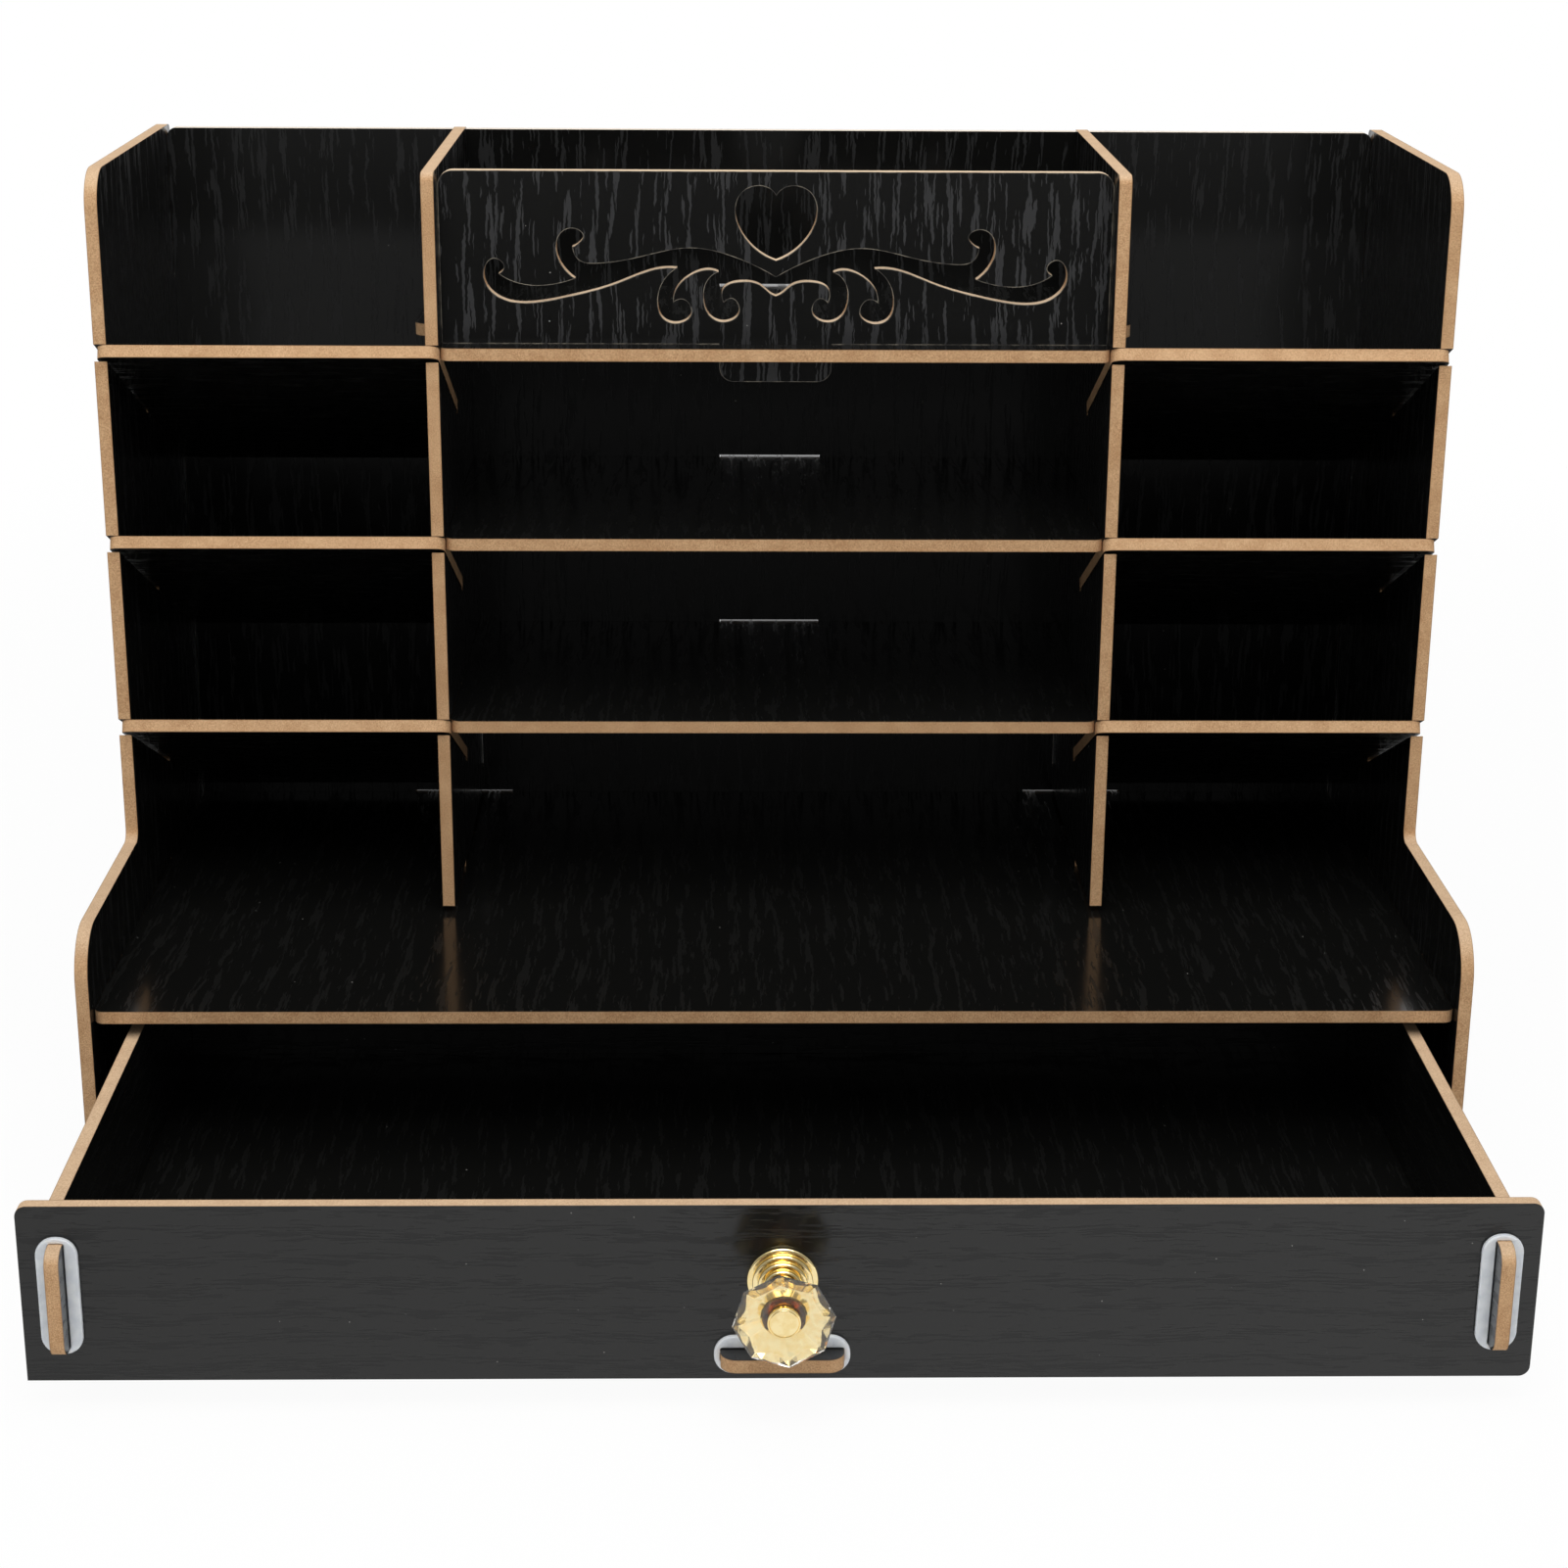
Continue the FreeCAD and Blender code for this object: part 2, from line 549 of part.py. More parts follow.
def drawer_side(name, across):
    """Make one side board of the drawer, with a tab at each end."""
    tabs = [
        (side, "Places.drawer_middle", "Sizes.side_board_tab", "Places.long_reach", True)
        for side in ("left", "right")
    ]
    outline = tabbed_board(
        "Sizes.end_gap", "Places.drawer_run - Sizes.end_gap", "0", "Sizes.drawer_height", tabs,
    )
    slot = tab_slot("Places.drawer_run / 2", "Places.bottom_middle", "Sizes.bottom_board_tab", False)
    board = flat_board(name, "YZ_Plane", outline, [slot])
    place(board, across, "Places.drawer_inside", "Places.drawer_foot")


def drawer_bottom():
    """Make the drawer's bottom board, with a tab in the middle of each of its four sides."""
    half = "Places.drawer_side_inner - Sizes.end_gap"
    tabs = [
        ("left", "Places.drawer_run / 2", "Sizes.bottom_board_tab", "Places.long_reach", True),
        ("right", "Places.drawer_run / 2", "Sizes.bottom_board_tab", "Places.long_reach", True),
        ("low", "0", "Sizes.bottom_board_tab", "Places.long_reach", True),
        ("high", "0", "Sizes.bottom_board_tab", "Places.long_reach", True),
    ]
    outline = tabbed_board(
        f"-({half})", half, "Sizes.end_gap", "Places.drawer_run - Sizes.end_gap", tabs,
    )
    board = flat_board("drawer_bottom", "XY_Plane", outline)
    place(board, along="Places.drawer_inside", up="Places.drawer_foot + Sizes.bottom_rise")


def ring(name, plane, upright, tab_length, across="0", along="0", up="0"):
    """Make one flat ring that grips a tab, centred on its own origin."""
    half_long = f"({tab_length} / 2 + Sizes.tab_gap + Sizes.ring_end_wall)"
    half_short = "(Sizes.board / 2 + Sizes.tab_gap + Sizes.ring_wall)"
    half_x, half_y = (half_short, half_long) if upright else (half_long, half_short)
    outline = tabbed_board(f"-{half_x}", half_x, f"-{half_y}", half_y, corners=("ring_corner",) * 4)
    slot = tab_slot("0", "0", tab_length, upright)
    place(flat_board(name, plane, outline, [slot], "Sizes.ring_thickness"), across, along, up)


def revolved(name, profile):
    """Make a turned piece from a profile of (radius, distance out of the drawer front)."""
    body = doc.addObject("PartDesign::Body", name)
    body.Label = name
    sketch = new_sketch(body, "profile", "XY_Plane")
    draw_loops(sketch, [[(radius, f"-({out})") for radius, out in profile]])
    turn = body.newObject("PartDesign::Revolution", f"{name}_turn")
    turn.Profile = sketch
    turn.ReferenceAxis = (sketch, ["V_Axis"])
    turn.Angle = 360
    doc.recompute()
    place_on_front(body)
    pieces.append(body)


def place_on_front(piece):
    """Put a piece of the knob on the knob's axis, at the drawer's front."""
    place(piece, along="Places.drawer_face", up="Places.drawer_foot + Places.knob_height")


def knob_rosette():
    """Make the stepped foot of the knob, with a blind bore for the screw."""
    bore = "Sizes.screw_radius + Sizes.bore_gap"
    profile = [(bore, "0")]
    for step in range(4):
        radius = f"Sizes.rosette_radius - {step} * Sizes.rosette_ease"
        profile.append((radius, f"{step} * Sizes.knob_step"))
        profile.append((radius, f"{step + 1} * Sizes.knob_step"))
    depth = "Sizes.screw_bite + Sizes.bore_gap"
    revolved("knob_rosette", [*profile, ("0", "Places.rosette_length"), ("0", depth), (bore, depth)])


def knob_neck():
    """Make the neck and its collar, with a blind bore for the cap's pin."""
    bore = "Sizes.pin_radius + Sizes.bore_gap"
    depth = "Places.crystal_rear - Sizes.pin_bite - Sizes.bore_gap"
    revolved("knob_neck", [
        ("0", "Places.rosette_length"),
        ("Sizes.neck_radius", "Places.rosette_length"),
        ("Sizes.neck_radius", "Places.neck_end"),
        ("Sizes.collar_radius", "Places.neck_end"),
        ("Sizes.collar_radius", "Places.crystal_rear"),
        (bore, "Places.crystal_rear"),
        (bore, depth),
        ("0", depth),
    ])


def knob_cap():
    """Make the cap on the crystal's front and the pin that holds the crystal to the neck."""
    revolved("knob_cap", [
        ("0", "Places.crystal_rear - Sizes.pin_bite"),
        ("Sizes.pin_radius", "Places.crystal_rear - Sizes.pin_bite"),
        ("Sizes.pin_radius", "Places.crystal_front"),
        ("Sizes.cap_radius", "Places.crystal_front"),
        ("Sizes.cap_radius", "Places.knob_length"),
        ("0", "Places.knob_length"),
    ])


def knob_screw():
    """Make the screw that comes from inside the drawer and holds the rosette."""
    revolved("knob_screw", [
        ("0", "-(Sizes.board + Sizes.screw_head_height)"),
        ("Sizes.screw_head_radius", "-(Sizes.board + Sizes.screw_head_height)"),
        ("Sizes.screw_head_radius", "-Sizes.board"),
        ("Sizes.screw_radius", "-Sizes.board"),
        ("Sizes.screw_radius", "Sizes.screw_bite"),
        ("0", "Sizes.screw_bite"),
    ])


def knob_crystal():
    """Make the eight-sided crystal as a ruled loft through three octagons, bored for the pin."""
    sections = []
    for name, radius, out in (
        ("rear", "Sizes.crystal_rear_radius", "Places.crystal_rear"),
        ("girdle", "Sizes.crystal_radius", "Places.girdle"),
        ("front", "Sizes.crystal_front_radius", "Places.crystal_front"),
    ):
        octagon = doc.addObject("Part::RegularPolygon", f"crystal_{name}")
        octagon.Polygon = 8
        octagon.setExpression("Circumradius", radius)
        octagon.setExpression("Placement.Base.z", out)
        sections.append(octagon)
    loft = doc.addObject("Part::Loft", "crystal_loft")
    loft.Sections = sections
    loft.Solid = True
    loft.Ruled = True
    bore = doc.addObject("Part::Cylinder", "crystal_bore")
    bore.setExpression("Radius", "Sizes.pin_radius + Sizes.bore_gap")
    bore.setExpression("Height", "Places.knob_length")
    crystal = doc.addObject("Part::Cut", "knob_crystal")
    crystal.Label = "knob_crystal"
    crystal.Base = loft
    crystal.Tool = bore
    doc.recompute()
    twist = Rotation(Vector(0, 0, 1), value("Sizes.crystal_twist"))
    crystal.Placement = Placement(Vector(), Rotation(Vector(1, 0, 0), 90) * twist)
    place_on_front(crystal)
    pieces.append(crystal)


def add_carcass():
    """Make the fixed boards of the holder."""
    side_panel("left_side_panel", "-Places.side_outer")
    side_panel("right_side_panel", "Places.side_inner")
    divider("left_divider", "-Places.divider_outer")
    divider("right_divider", "Places.divider_inner")
    back_panel()
    foot_slots = [
        tab_slot("Places.foot_tab", f"{side}Places.divider_middle", "Sizes.tab_length", True)
        for side in ("-", "")
    ]
    wide_board("front_shelf", "Places.front_shelf_foot", foot_slots)
    wide_board("base_board", "Sizes.base_lift")
    carved_slot = tab_slot("0", "Places.carved_tab", "Sizes.tab_length", False)
    centre_shelf("lower_centre_shelf", 1, "Places.flush_reach", False)
    centre_shelf("middle_centre_shelf", 2, "Places.flush_reach", False)
    centre_shelf("upper_centre_shelf", 3, "Places.long_reach", True, [carved_slot])
    for level, level_name in enumerate(("lower", "middle", "upper"), start=1):
        side_shelf(f"left_{level_name}_shelf", level, -1)
        side_shelf(f"right_{level_name}_shelf", level, 1)
    carved_panel()


def add_carcass_rings():
    """Make the rings on the tabs that come through the two side panels."""
    for side, across in (("left", "-Places.side_outer - Sizes.ring_thickness"), ("right", "Places.side_outer")):
        for board_name, foot in (("shelf", "Places.front_shelf_foot"), ("base", "Sizes.base_lift")):
            for end, centre in (("front", "Places.wide_tab_1"), ("rear", "Places.wide_tab_2")):
                ring(
                    f"{side}_{board_name}_{end}_ring", "YZ_Plane", False, "Sizes.tab_length",
                    across, centre, f"{foot} + Sizes.board / 2",
                )


def add_drawer():
    """Make the drawer's five boards and the rings on their tabs."""
    screw_half = "(Sizes.screw_radius + Sizes.bore_gap)"
    low, high = f"Places.knob_height - {screw_half}", f"Places.knob_height + {screw_half}"
    screw_slot = [(f"-{screw_half}", low), (screw_half, low), (screw_half, high), (f"-{screw_half}", high)]
    drawer_end("drawer_front", "Places.drawer_inside", [screw_slot])
    drawer_end("drawer_back", "Places.drawer_rear + Sizes.board")
    drawer_side("drawer_left_side", "-Places.drawer_side_outer")
    drawer_side("drawer_right_side", "Places.drawer_side_inner")
    drawer_bottom()
    middle = "Places.drawer_foot + Places.drawer_middle"
    low_middle = "Places.drawer_foot + Places.bottom_middle"
    for end, along in (
        ("front", "Places.drawer_face"),
        ("back", "Places.drawer_rear + Sizes.board + Sizes.ring_thickness"),
    ):
        for side, sign in (("left", "-"), ("right", "")):
            ring(
                f"drawer_{end}_{side}_ring", "XZ_Plane", True, "Sizes.side_board_tab",
                f"{sign}Places.drawer_side_middle", along, middle,
            )
        ring(
            f"drawer_{end}_bottom_ring", "XZ_Plane", False, "Sizes.bottom_board_tab",
            "0", along, low_middle,
        )
    for side, across in (
        ("left", "-Places.drawer_side_outer - Sizes.ring_thickness"),
        ("right", "Places.drawer_side_outer"),
    ):
        ring(
            f"drawer_{side}_side_ring", "YZ_Plane", False, "Sizes.bottom_board_tab",
            across, "Places.drawer_inside + Places.drawer_run / 2", low_middle,
        )


def add_knob():
    """Make the knob's turned pieces, its crystal and its screw."""
    knob_rosette()
    knob_neck()
    knob_crystal()
    knob_cap()
    knob_screw()


def check_document():
    """Stop if any object failed, or if a piece isn't one valid solid."""
    for item in doc.Objects:
        if any(mark in ("Invalid", "Error") for mark in item.State):
            raise RuntimeError(f"{item.Label} failed: {item.State}")
    for piece in pieces:
        shape = piece.Shape
        if shape.isNull() or not shape.isValid() or len(shape.Solids) != 1:
            raise RuntimeError(f"{piece.Label} isn't one valid solid")


def write_pieces():
    """Write each piece to its own STEP file."""
    os.makedirs("parts", exist_ok=True)
    for piece in pieces:
        piece.Shape.exportStep(f"parts/{piece.Label}.step")
    print(f"{len(pieces)} pieces written")


add_carcass()
add_carcass_rings()
add_drawer()
add_knob()
doc.recompute()
check_document()
write_pieces()
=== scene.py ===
"""Looks of a pen holder with a drawer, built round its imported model.

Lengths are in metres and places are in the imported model's frame: X to the right, Y to the back, Z up.
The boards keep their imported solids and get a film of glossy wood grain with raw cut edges. The locking
rings and the knob get finer meshes of their own.
"""

import json
import logging
import math
from dataclasses import dataclass
from enum import Enum

import bmesh
import bpy
from mathutils import Matrix, Vector


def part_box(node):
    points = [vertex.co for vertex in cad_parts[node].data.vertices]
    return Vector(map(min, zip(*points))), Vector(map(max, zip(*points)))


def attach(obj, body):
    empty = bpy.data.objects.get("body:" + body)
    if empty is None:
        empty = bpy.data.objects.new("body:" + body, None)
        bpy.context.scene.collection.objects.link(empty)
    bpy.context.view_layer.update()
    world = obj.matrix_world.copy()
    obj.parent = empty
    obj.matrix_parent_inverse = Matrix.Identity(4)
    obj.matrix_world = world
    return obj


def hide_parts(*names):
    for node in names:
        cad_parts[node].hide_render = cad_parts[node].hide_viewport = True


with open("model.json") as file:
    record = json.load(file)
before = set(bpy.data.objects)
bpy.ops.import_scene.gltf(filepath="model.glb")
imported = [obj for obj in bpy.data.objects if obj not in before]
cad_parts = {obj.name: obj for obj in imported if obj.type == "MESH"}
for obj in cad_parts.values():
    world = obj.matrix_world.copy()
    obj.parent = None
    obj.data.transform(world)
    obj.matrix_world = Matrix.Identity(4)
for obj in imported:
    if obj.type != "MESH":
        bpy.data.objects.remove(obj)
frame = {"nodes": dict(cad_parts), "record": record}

log = logging.getLogger("pen_holder")

MM = 0.001
PHOTO_SIDE = 1601
SHARP_TURN = math.radians(32)
WELD_DISTANCE = 1e-7
SEED_STEP = 1.37
WHITE = (1.0, 1.0, 1.0, 1.0)

# The curve from screen values to linear ones
SCREEN_KNEE = 0.04045
SCREEN_SLOPE = 12.92
SCREEN_LIFT = 0.055
SCREEN_POWER = 2.4

Colour = tuple[float, float, float, float]
Point = tuple[float, float]
Span = tuple[float, float]
Material = bpy.types.Material
Piece = bpy.types.Object
Socket = bpy.types.NodeSocket
Feed = Socket | float | tuple[float, ...]


class Axis(Enum):
    """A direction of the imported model's frame."""

    X = (1.0, 0.0, 0.0)
    Y = (0.0, 1.0, 0.0)
    Z = (0.0, 0.0, 1.0)


# Helpers for meshes and materials


def linear(red: float, green: float, blue: float) -> Colour:
    """Turn a colour as a screen shows it into the linear colour that shaders take.

    Args:
        red: Red, 0 to 255.
        green: Green, 0 to 255.
        blue: Blue, 0 to 255.

    Returns:
        The linear colour with an alpha of 1.
    """
    channels = []
    for channel in (red, green, blue):
        share = channel / 255
        curved = ((share + SCREEN_LIFT) / (1 + SCREEN_LIFT)) ** SCREEN_POWER
        channels.append(share / SCREEN_SLOPE if share <= SCREEN_KNEE else curved)
    return (*channels, 1.0)


def body_of(node: str) -> str:
    """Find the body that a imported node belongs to."""
    bodies = frame["record"]["behaviour"]["bodies"]
    return next(body for body, members in bodies.items() if node in members)


def sloped(axis: Axis, fall: float) -> Vector:
    """Give a direction of a board that falls to the back by some degrees."""
    return Matrix.Rotation(-math.radians(fall), 3, "X") @ Vector(axis.value)


def make_piece(
    name: str,
    vertices: list[Vector],
    faces: list[tuple[int, ...]],
    material: Material,
    smooth_angle: float | None = SHARP_TURN,
) -> Piece:
    """Make a mesh piece and dress it in one material.

    Args:
        name: Name of the piece.
        vertices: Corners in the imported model's frame.
        faces: Corner numbers of each face.
        material: Material of the whole piece.
        smooth_angle: Edges that turn by more than this stay sharp. None keeps every facet flat.

    Returns:
        The new object.
    """
    mesh = bpy.data.meshes.new(name)
    mesh.from_pydata([tuple(vertex) for vertex in vertices], [], faces)
    mesh.validate()
    mesh.update()
    if smooth_angle is not None:
        mesh.polygons.foreach_set("use_smooth", [True] * len(mesh.polygons))
        mesh.set_sharp_from_angle(angle=smooth_angle)
    mesh.materials.append(material)
    piece = bpy.data.objects.new(name, mesh)
    bpy.context.scene.collection.objects.link(piece)
    return piece


def turn_outwards(piece: Piece) -> None:
    """Turn every face of a closed piece outwards.

    Args:
        piece: The piece.
    """
    work = bmesh.new()
    work.from_mesh(piece.data)
    bmesh.ops.remove_doubles(work, verts=work.verts, dist=WELD_DISTANCE)
    bmesh.ops.recalc_face_normals(work, faces=work.faces)
    work.to_mesh(piece.data)
    work.free()


def add_on(piece: Piece, node: str) -> None:
    """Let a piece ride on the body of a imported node.

    Args:
        piece: The piece.
        node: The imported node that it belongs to.
    """
    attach(piece, body_of(node))
    log.info("%s: %d faces, at %s", piece.name, len(piece.data.polygons), node)


def stand_in(piece: Piece, node: str) -> None:
    """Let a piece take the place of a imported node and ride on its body, as add_on does."""
    add_on(piece, node)
    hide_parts(node)


def redress(node: str, material: Material) -> None:
    """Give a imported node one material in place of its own.

    Args:
        node: Name of the node.
        material: The new material.
    """
    materials = frame["nodes"][node].data.materials
    materials.clear()
    materials.append(material)
    log.info("%s: %s", node, material.name)


def arc(centre: Point, radius: float, start: float, end: float, steps: int) -> list[Point]:
    """Points along an arc in a flat profile.

    Args:
        centre: Centre of the arc.
        radius: Radius of the arc.
        start: Angle of the first point, in degrees.
        end: Angle of the last point, in degrees.
        steps: Number of stretches between the two.

    Returns:
        The points, both ends included.
    """
    points = []
    for step in range(steps + 1):
        angle = math.radians(start + (end - start) * step / steps)
        points.append((centre[0] + radius * math.cos(angle), centre[1] + radius * math.sin(angle)))
    return points


def rounded_rectangle(half_width: float, half_height: float, radius: float, steps: int) -> list[Point]:
    """Outline of a rectangle with round corners, counter-clockwise.

    Args:
        half_width: Half of the width.
        half_height: Half of the height.
        radius: Radius of the corners.
        steps: Stretches in each corner.

    Returns:
        The points of the closed outline.
    """
    across, up = half_width - radius, half_height - radius
    outline = []
    for sign_x, sign_y, start in ((1, 1, 0), (-1, 1, 90), (-1, -1, 180), (1, -1, 270)):
        outline += arc((sign_x * across, sign_y * up), radius, start, start + 90, steps)
    return outline


def loop_faces(loops: int, count: int, closed: bool = False) -> list[tuple[int, ...]]:
    """Faces between loops of points that follow each other.

    Args:
        loops: Number of loops.
        count: Number of points in each.
        closed: Whether the last loop joins the first.

    Returns:
        Corner numbers of each face.
    """
    faces = []
    for loop in range(loops if closed else loops - 1):
        low, high = loop * count, (loop + 1) % loops * count
        for step in range(count):
            after = (step + 1) % count
            faces.append((low + step, low + after, high + after, high + step))
    return faces


class Shader:
    """A node tree of a material or the world, with short calls that add and link its nodes."""

    # Blender's numbers of the share, the low and the high input of a Mix node, and of its result
    COLOUR_INPUTS = (0, 6, 7)
    COLOUR_RESULT = 2
    NUMBER_INPUTS = (0, 2, 3)

    def __init__(self, owner: Material | bpy.types.World) -> None:
        """Start with an empty tree.

        Args:
            owner: The material or world that the tree belongs to.
        """
        self.owner = owner
        self.owner.use_nodes = True
        self.tree = self.owner.node_tree
        self.tree.nodes.clear()

    def add(self, kind: str, settings: dict | None = None, **inputs: Feed) -> bpy.types.Node:
        """Add a node, set its options and fill or link its inputs.

        Args:
            kind: Blender's name of the node type, without "ShaderNode".
            settings: Options of the node.
            inputs: Values or sockets by input name, with spaces written as underscores.

        Returns:
            The new node.
        """
        node = self.tree.nodes.new(f"ShaderNode{kind}")
        for option, choice in (settings or {}).items():
            setattr(node, option, choice)
        for name, content in inputs.items():
            self.feed(node.inputs[name.replace("_", " ")], content)
        return node

    def feed(self, socket: Socket, content: Feed) -> None:
        """Link a socket to another, or set its value.

        Args:
            socket: The input.
            content: The socket or the value that it gets.
        """
        if isinstance(content, Socket):
            self.tree.links.new(content, socket)
        else:
            socket.default_value = content

    def result(
        self, kind: str, settings: dict, values: tuple, inputs: tuple[int, ...] = (), output: int | str = 0
    ) -> Socket:
        """Add a node, fill its inputs by number and give one of its outputs.

        Args:
            kind: Blender's name of the node type, without "ShaderNode".
            settings: Options of the node.
            values: Values or sockets for the inputs.
            inputs: Numbers of those inputs. Without any, the values go to the first ones.
            output: Number or name of the output.

        Returns:
            The output.
        """
        node = self.add(kind, settings)
        for number, content in zip(inputs or range(len(values)), values):
            self.feed(node.inputs[number], content)
        return node.outputs[output]

    def math(self, operation: str, *values: Feed) -> Socket:
        """Give the result of a math node."""
        return self.result("Math", {"operation": operation}, values)

    def vector(self, operation: str, *values: Feed, output: str = "Vector") -> Socket:
        """Give the named result of a vector math node."""
        return self.result("VectorMath", {"operation": operation}, values, output=output)

    def dot(self, place: Socket, direction: Vector) -> Socket:
        """Measure a place or a normal along a direction."""
        return self.vector("DOT_PRODUCT", place, tuple(direction), output="Value")

    def mix(self, share: Feed, low: Feed, high: Feed) -> Socket:
        """Mix two colours."""
        values = (share, low, high)
        return self.result("Mix", {"data_type": "RGBA"}, values, self.COLOUR_INPUTS, self.COLOUR_RESULT)

    def blend(self, share: Feed, low: Feed, high: Feed) -> Socket:
        """Mix two numbers."""
        return self.result("Mix", {"data_type": "FLOAT"}, (share, low, high), self.NUMBER_INPUTS)

    def step(self, number: Feed, span: Span) -> Socket:
        """Rise smoothly from 0 to 1 while a number goes through a span."""
        values = (number, *span, 0.0, 1.0)
        return self.result("MapRange", {"interpolation_type": "SMOOTHSTEP"}, values)

    def noise(self, place: Socket, scale: float, detail: float = 2.0, rough: float = 0.5) -> Socket:
        """Give the grey value of a noise texture."""
        texture = self.add("TexNoise", Vector=place, Scale=scale, Detail=detail, Roughness=rough)
        return texture.outputs["Fac"]

    def place(self) -> Socket:
        """Give the place on the object."""
        return self.add("TexCoord").outputs["Object"]

    def combine(self, x: Feed, y: Feed, z: Feed) -> Socket:
        """Join three numbers to a place."""
        return self.add("CombineXYZ", X=x, Y=y, Z=z).outputs[0]

    def split(self, place: Socket) -> tuple[Socket, ...]:
        """Part a place into its three numbers."""
        return tuple(self.add("SeparateXYZ", Vector=place).outputs)

    def bump(self, height: Feed, depth: float) -> Socket:
        """Give the normals of a relief of some depth."""
        return self.add("Bump", Strength=1.0, Distance=depth, Height=height).outputs[0]

    def vary(self, share: Feed, roughness: float, factors: Span) -> Socket:
        """Vary a roughness between two factors of it."""
        return self.blend(share, *(roughness * factor for factor in factors))

    def finish(self, **inputs: Feed) -> Material:
        """Close the tree with a Principled shader.

        Args:
            inputs: Values or sockets of the shader, as for add.

        Returns:
            The finished material.
        """
        surface = self.add("BsdfPrincipled", **inputs)
        self.add("OutputMaterial", Surface=surface.outputs[0])
        return self.owner


def new_shader(name: str) -> Shader:
    """Start the tree of a new material."""
    return Shader(bpy.data.materials.new(name))


# Finishes


class BoardShader(Shader):
    """The tree of a board's material, which knows where a point lies on the board."""

    def __init__(self, name: str, facing: Vector, grain: Vector, middle: Vector, seed: float) -> None:
        """Start the tree and measure the place on the board.

        Args:
            name: Name of the board.
            facing: Unit normal of the board's faces.
            grain: Unit direction of the wood grain in the film.
            middle: A point in the middle of the board's thickness.
            seed: Shifts the patterns, so that no two boards look the same.
        """
        super().__init__(bpy.data.materials.new(f"{name}_finish"))
        self.seed = seed
        self.spot = self.vector("SUBTRACT", self.place(), tuple(middle))
        self.along = self.dot(self.spot, grain)
        self.across = self.dot(self.spot, grain.cross(facing))
        self.depth = self.dot(self.spot, facing)
        self.normal = self.add("TexCoord").outputs["Normal"]
        self.squareness = self.math("ABSOLUTE", self.dot(self.normal, facing))

    def streaks(
        self, across: Socket, size: Span, layer: Feed, detail: float = 3.0, rough: float = 0.5
    ) -> Socket:
        """Give the grey value of noise stretched along the grain, with streaks of one width and length."""
        x, y = (self.math("DIVIDE", place, length) for place, length in zip((across, self.along), size))
        return self.noise(self.combine(x, y, layer), 1.0, detail, rough)


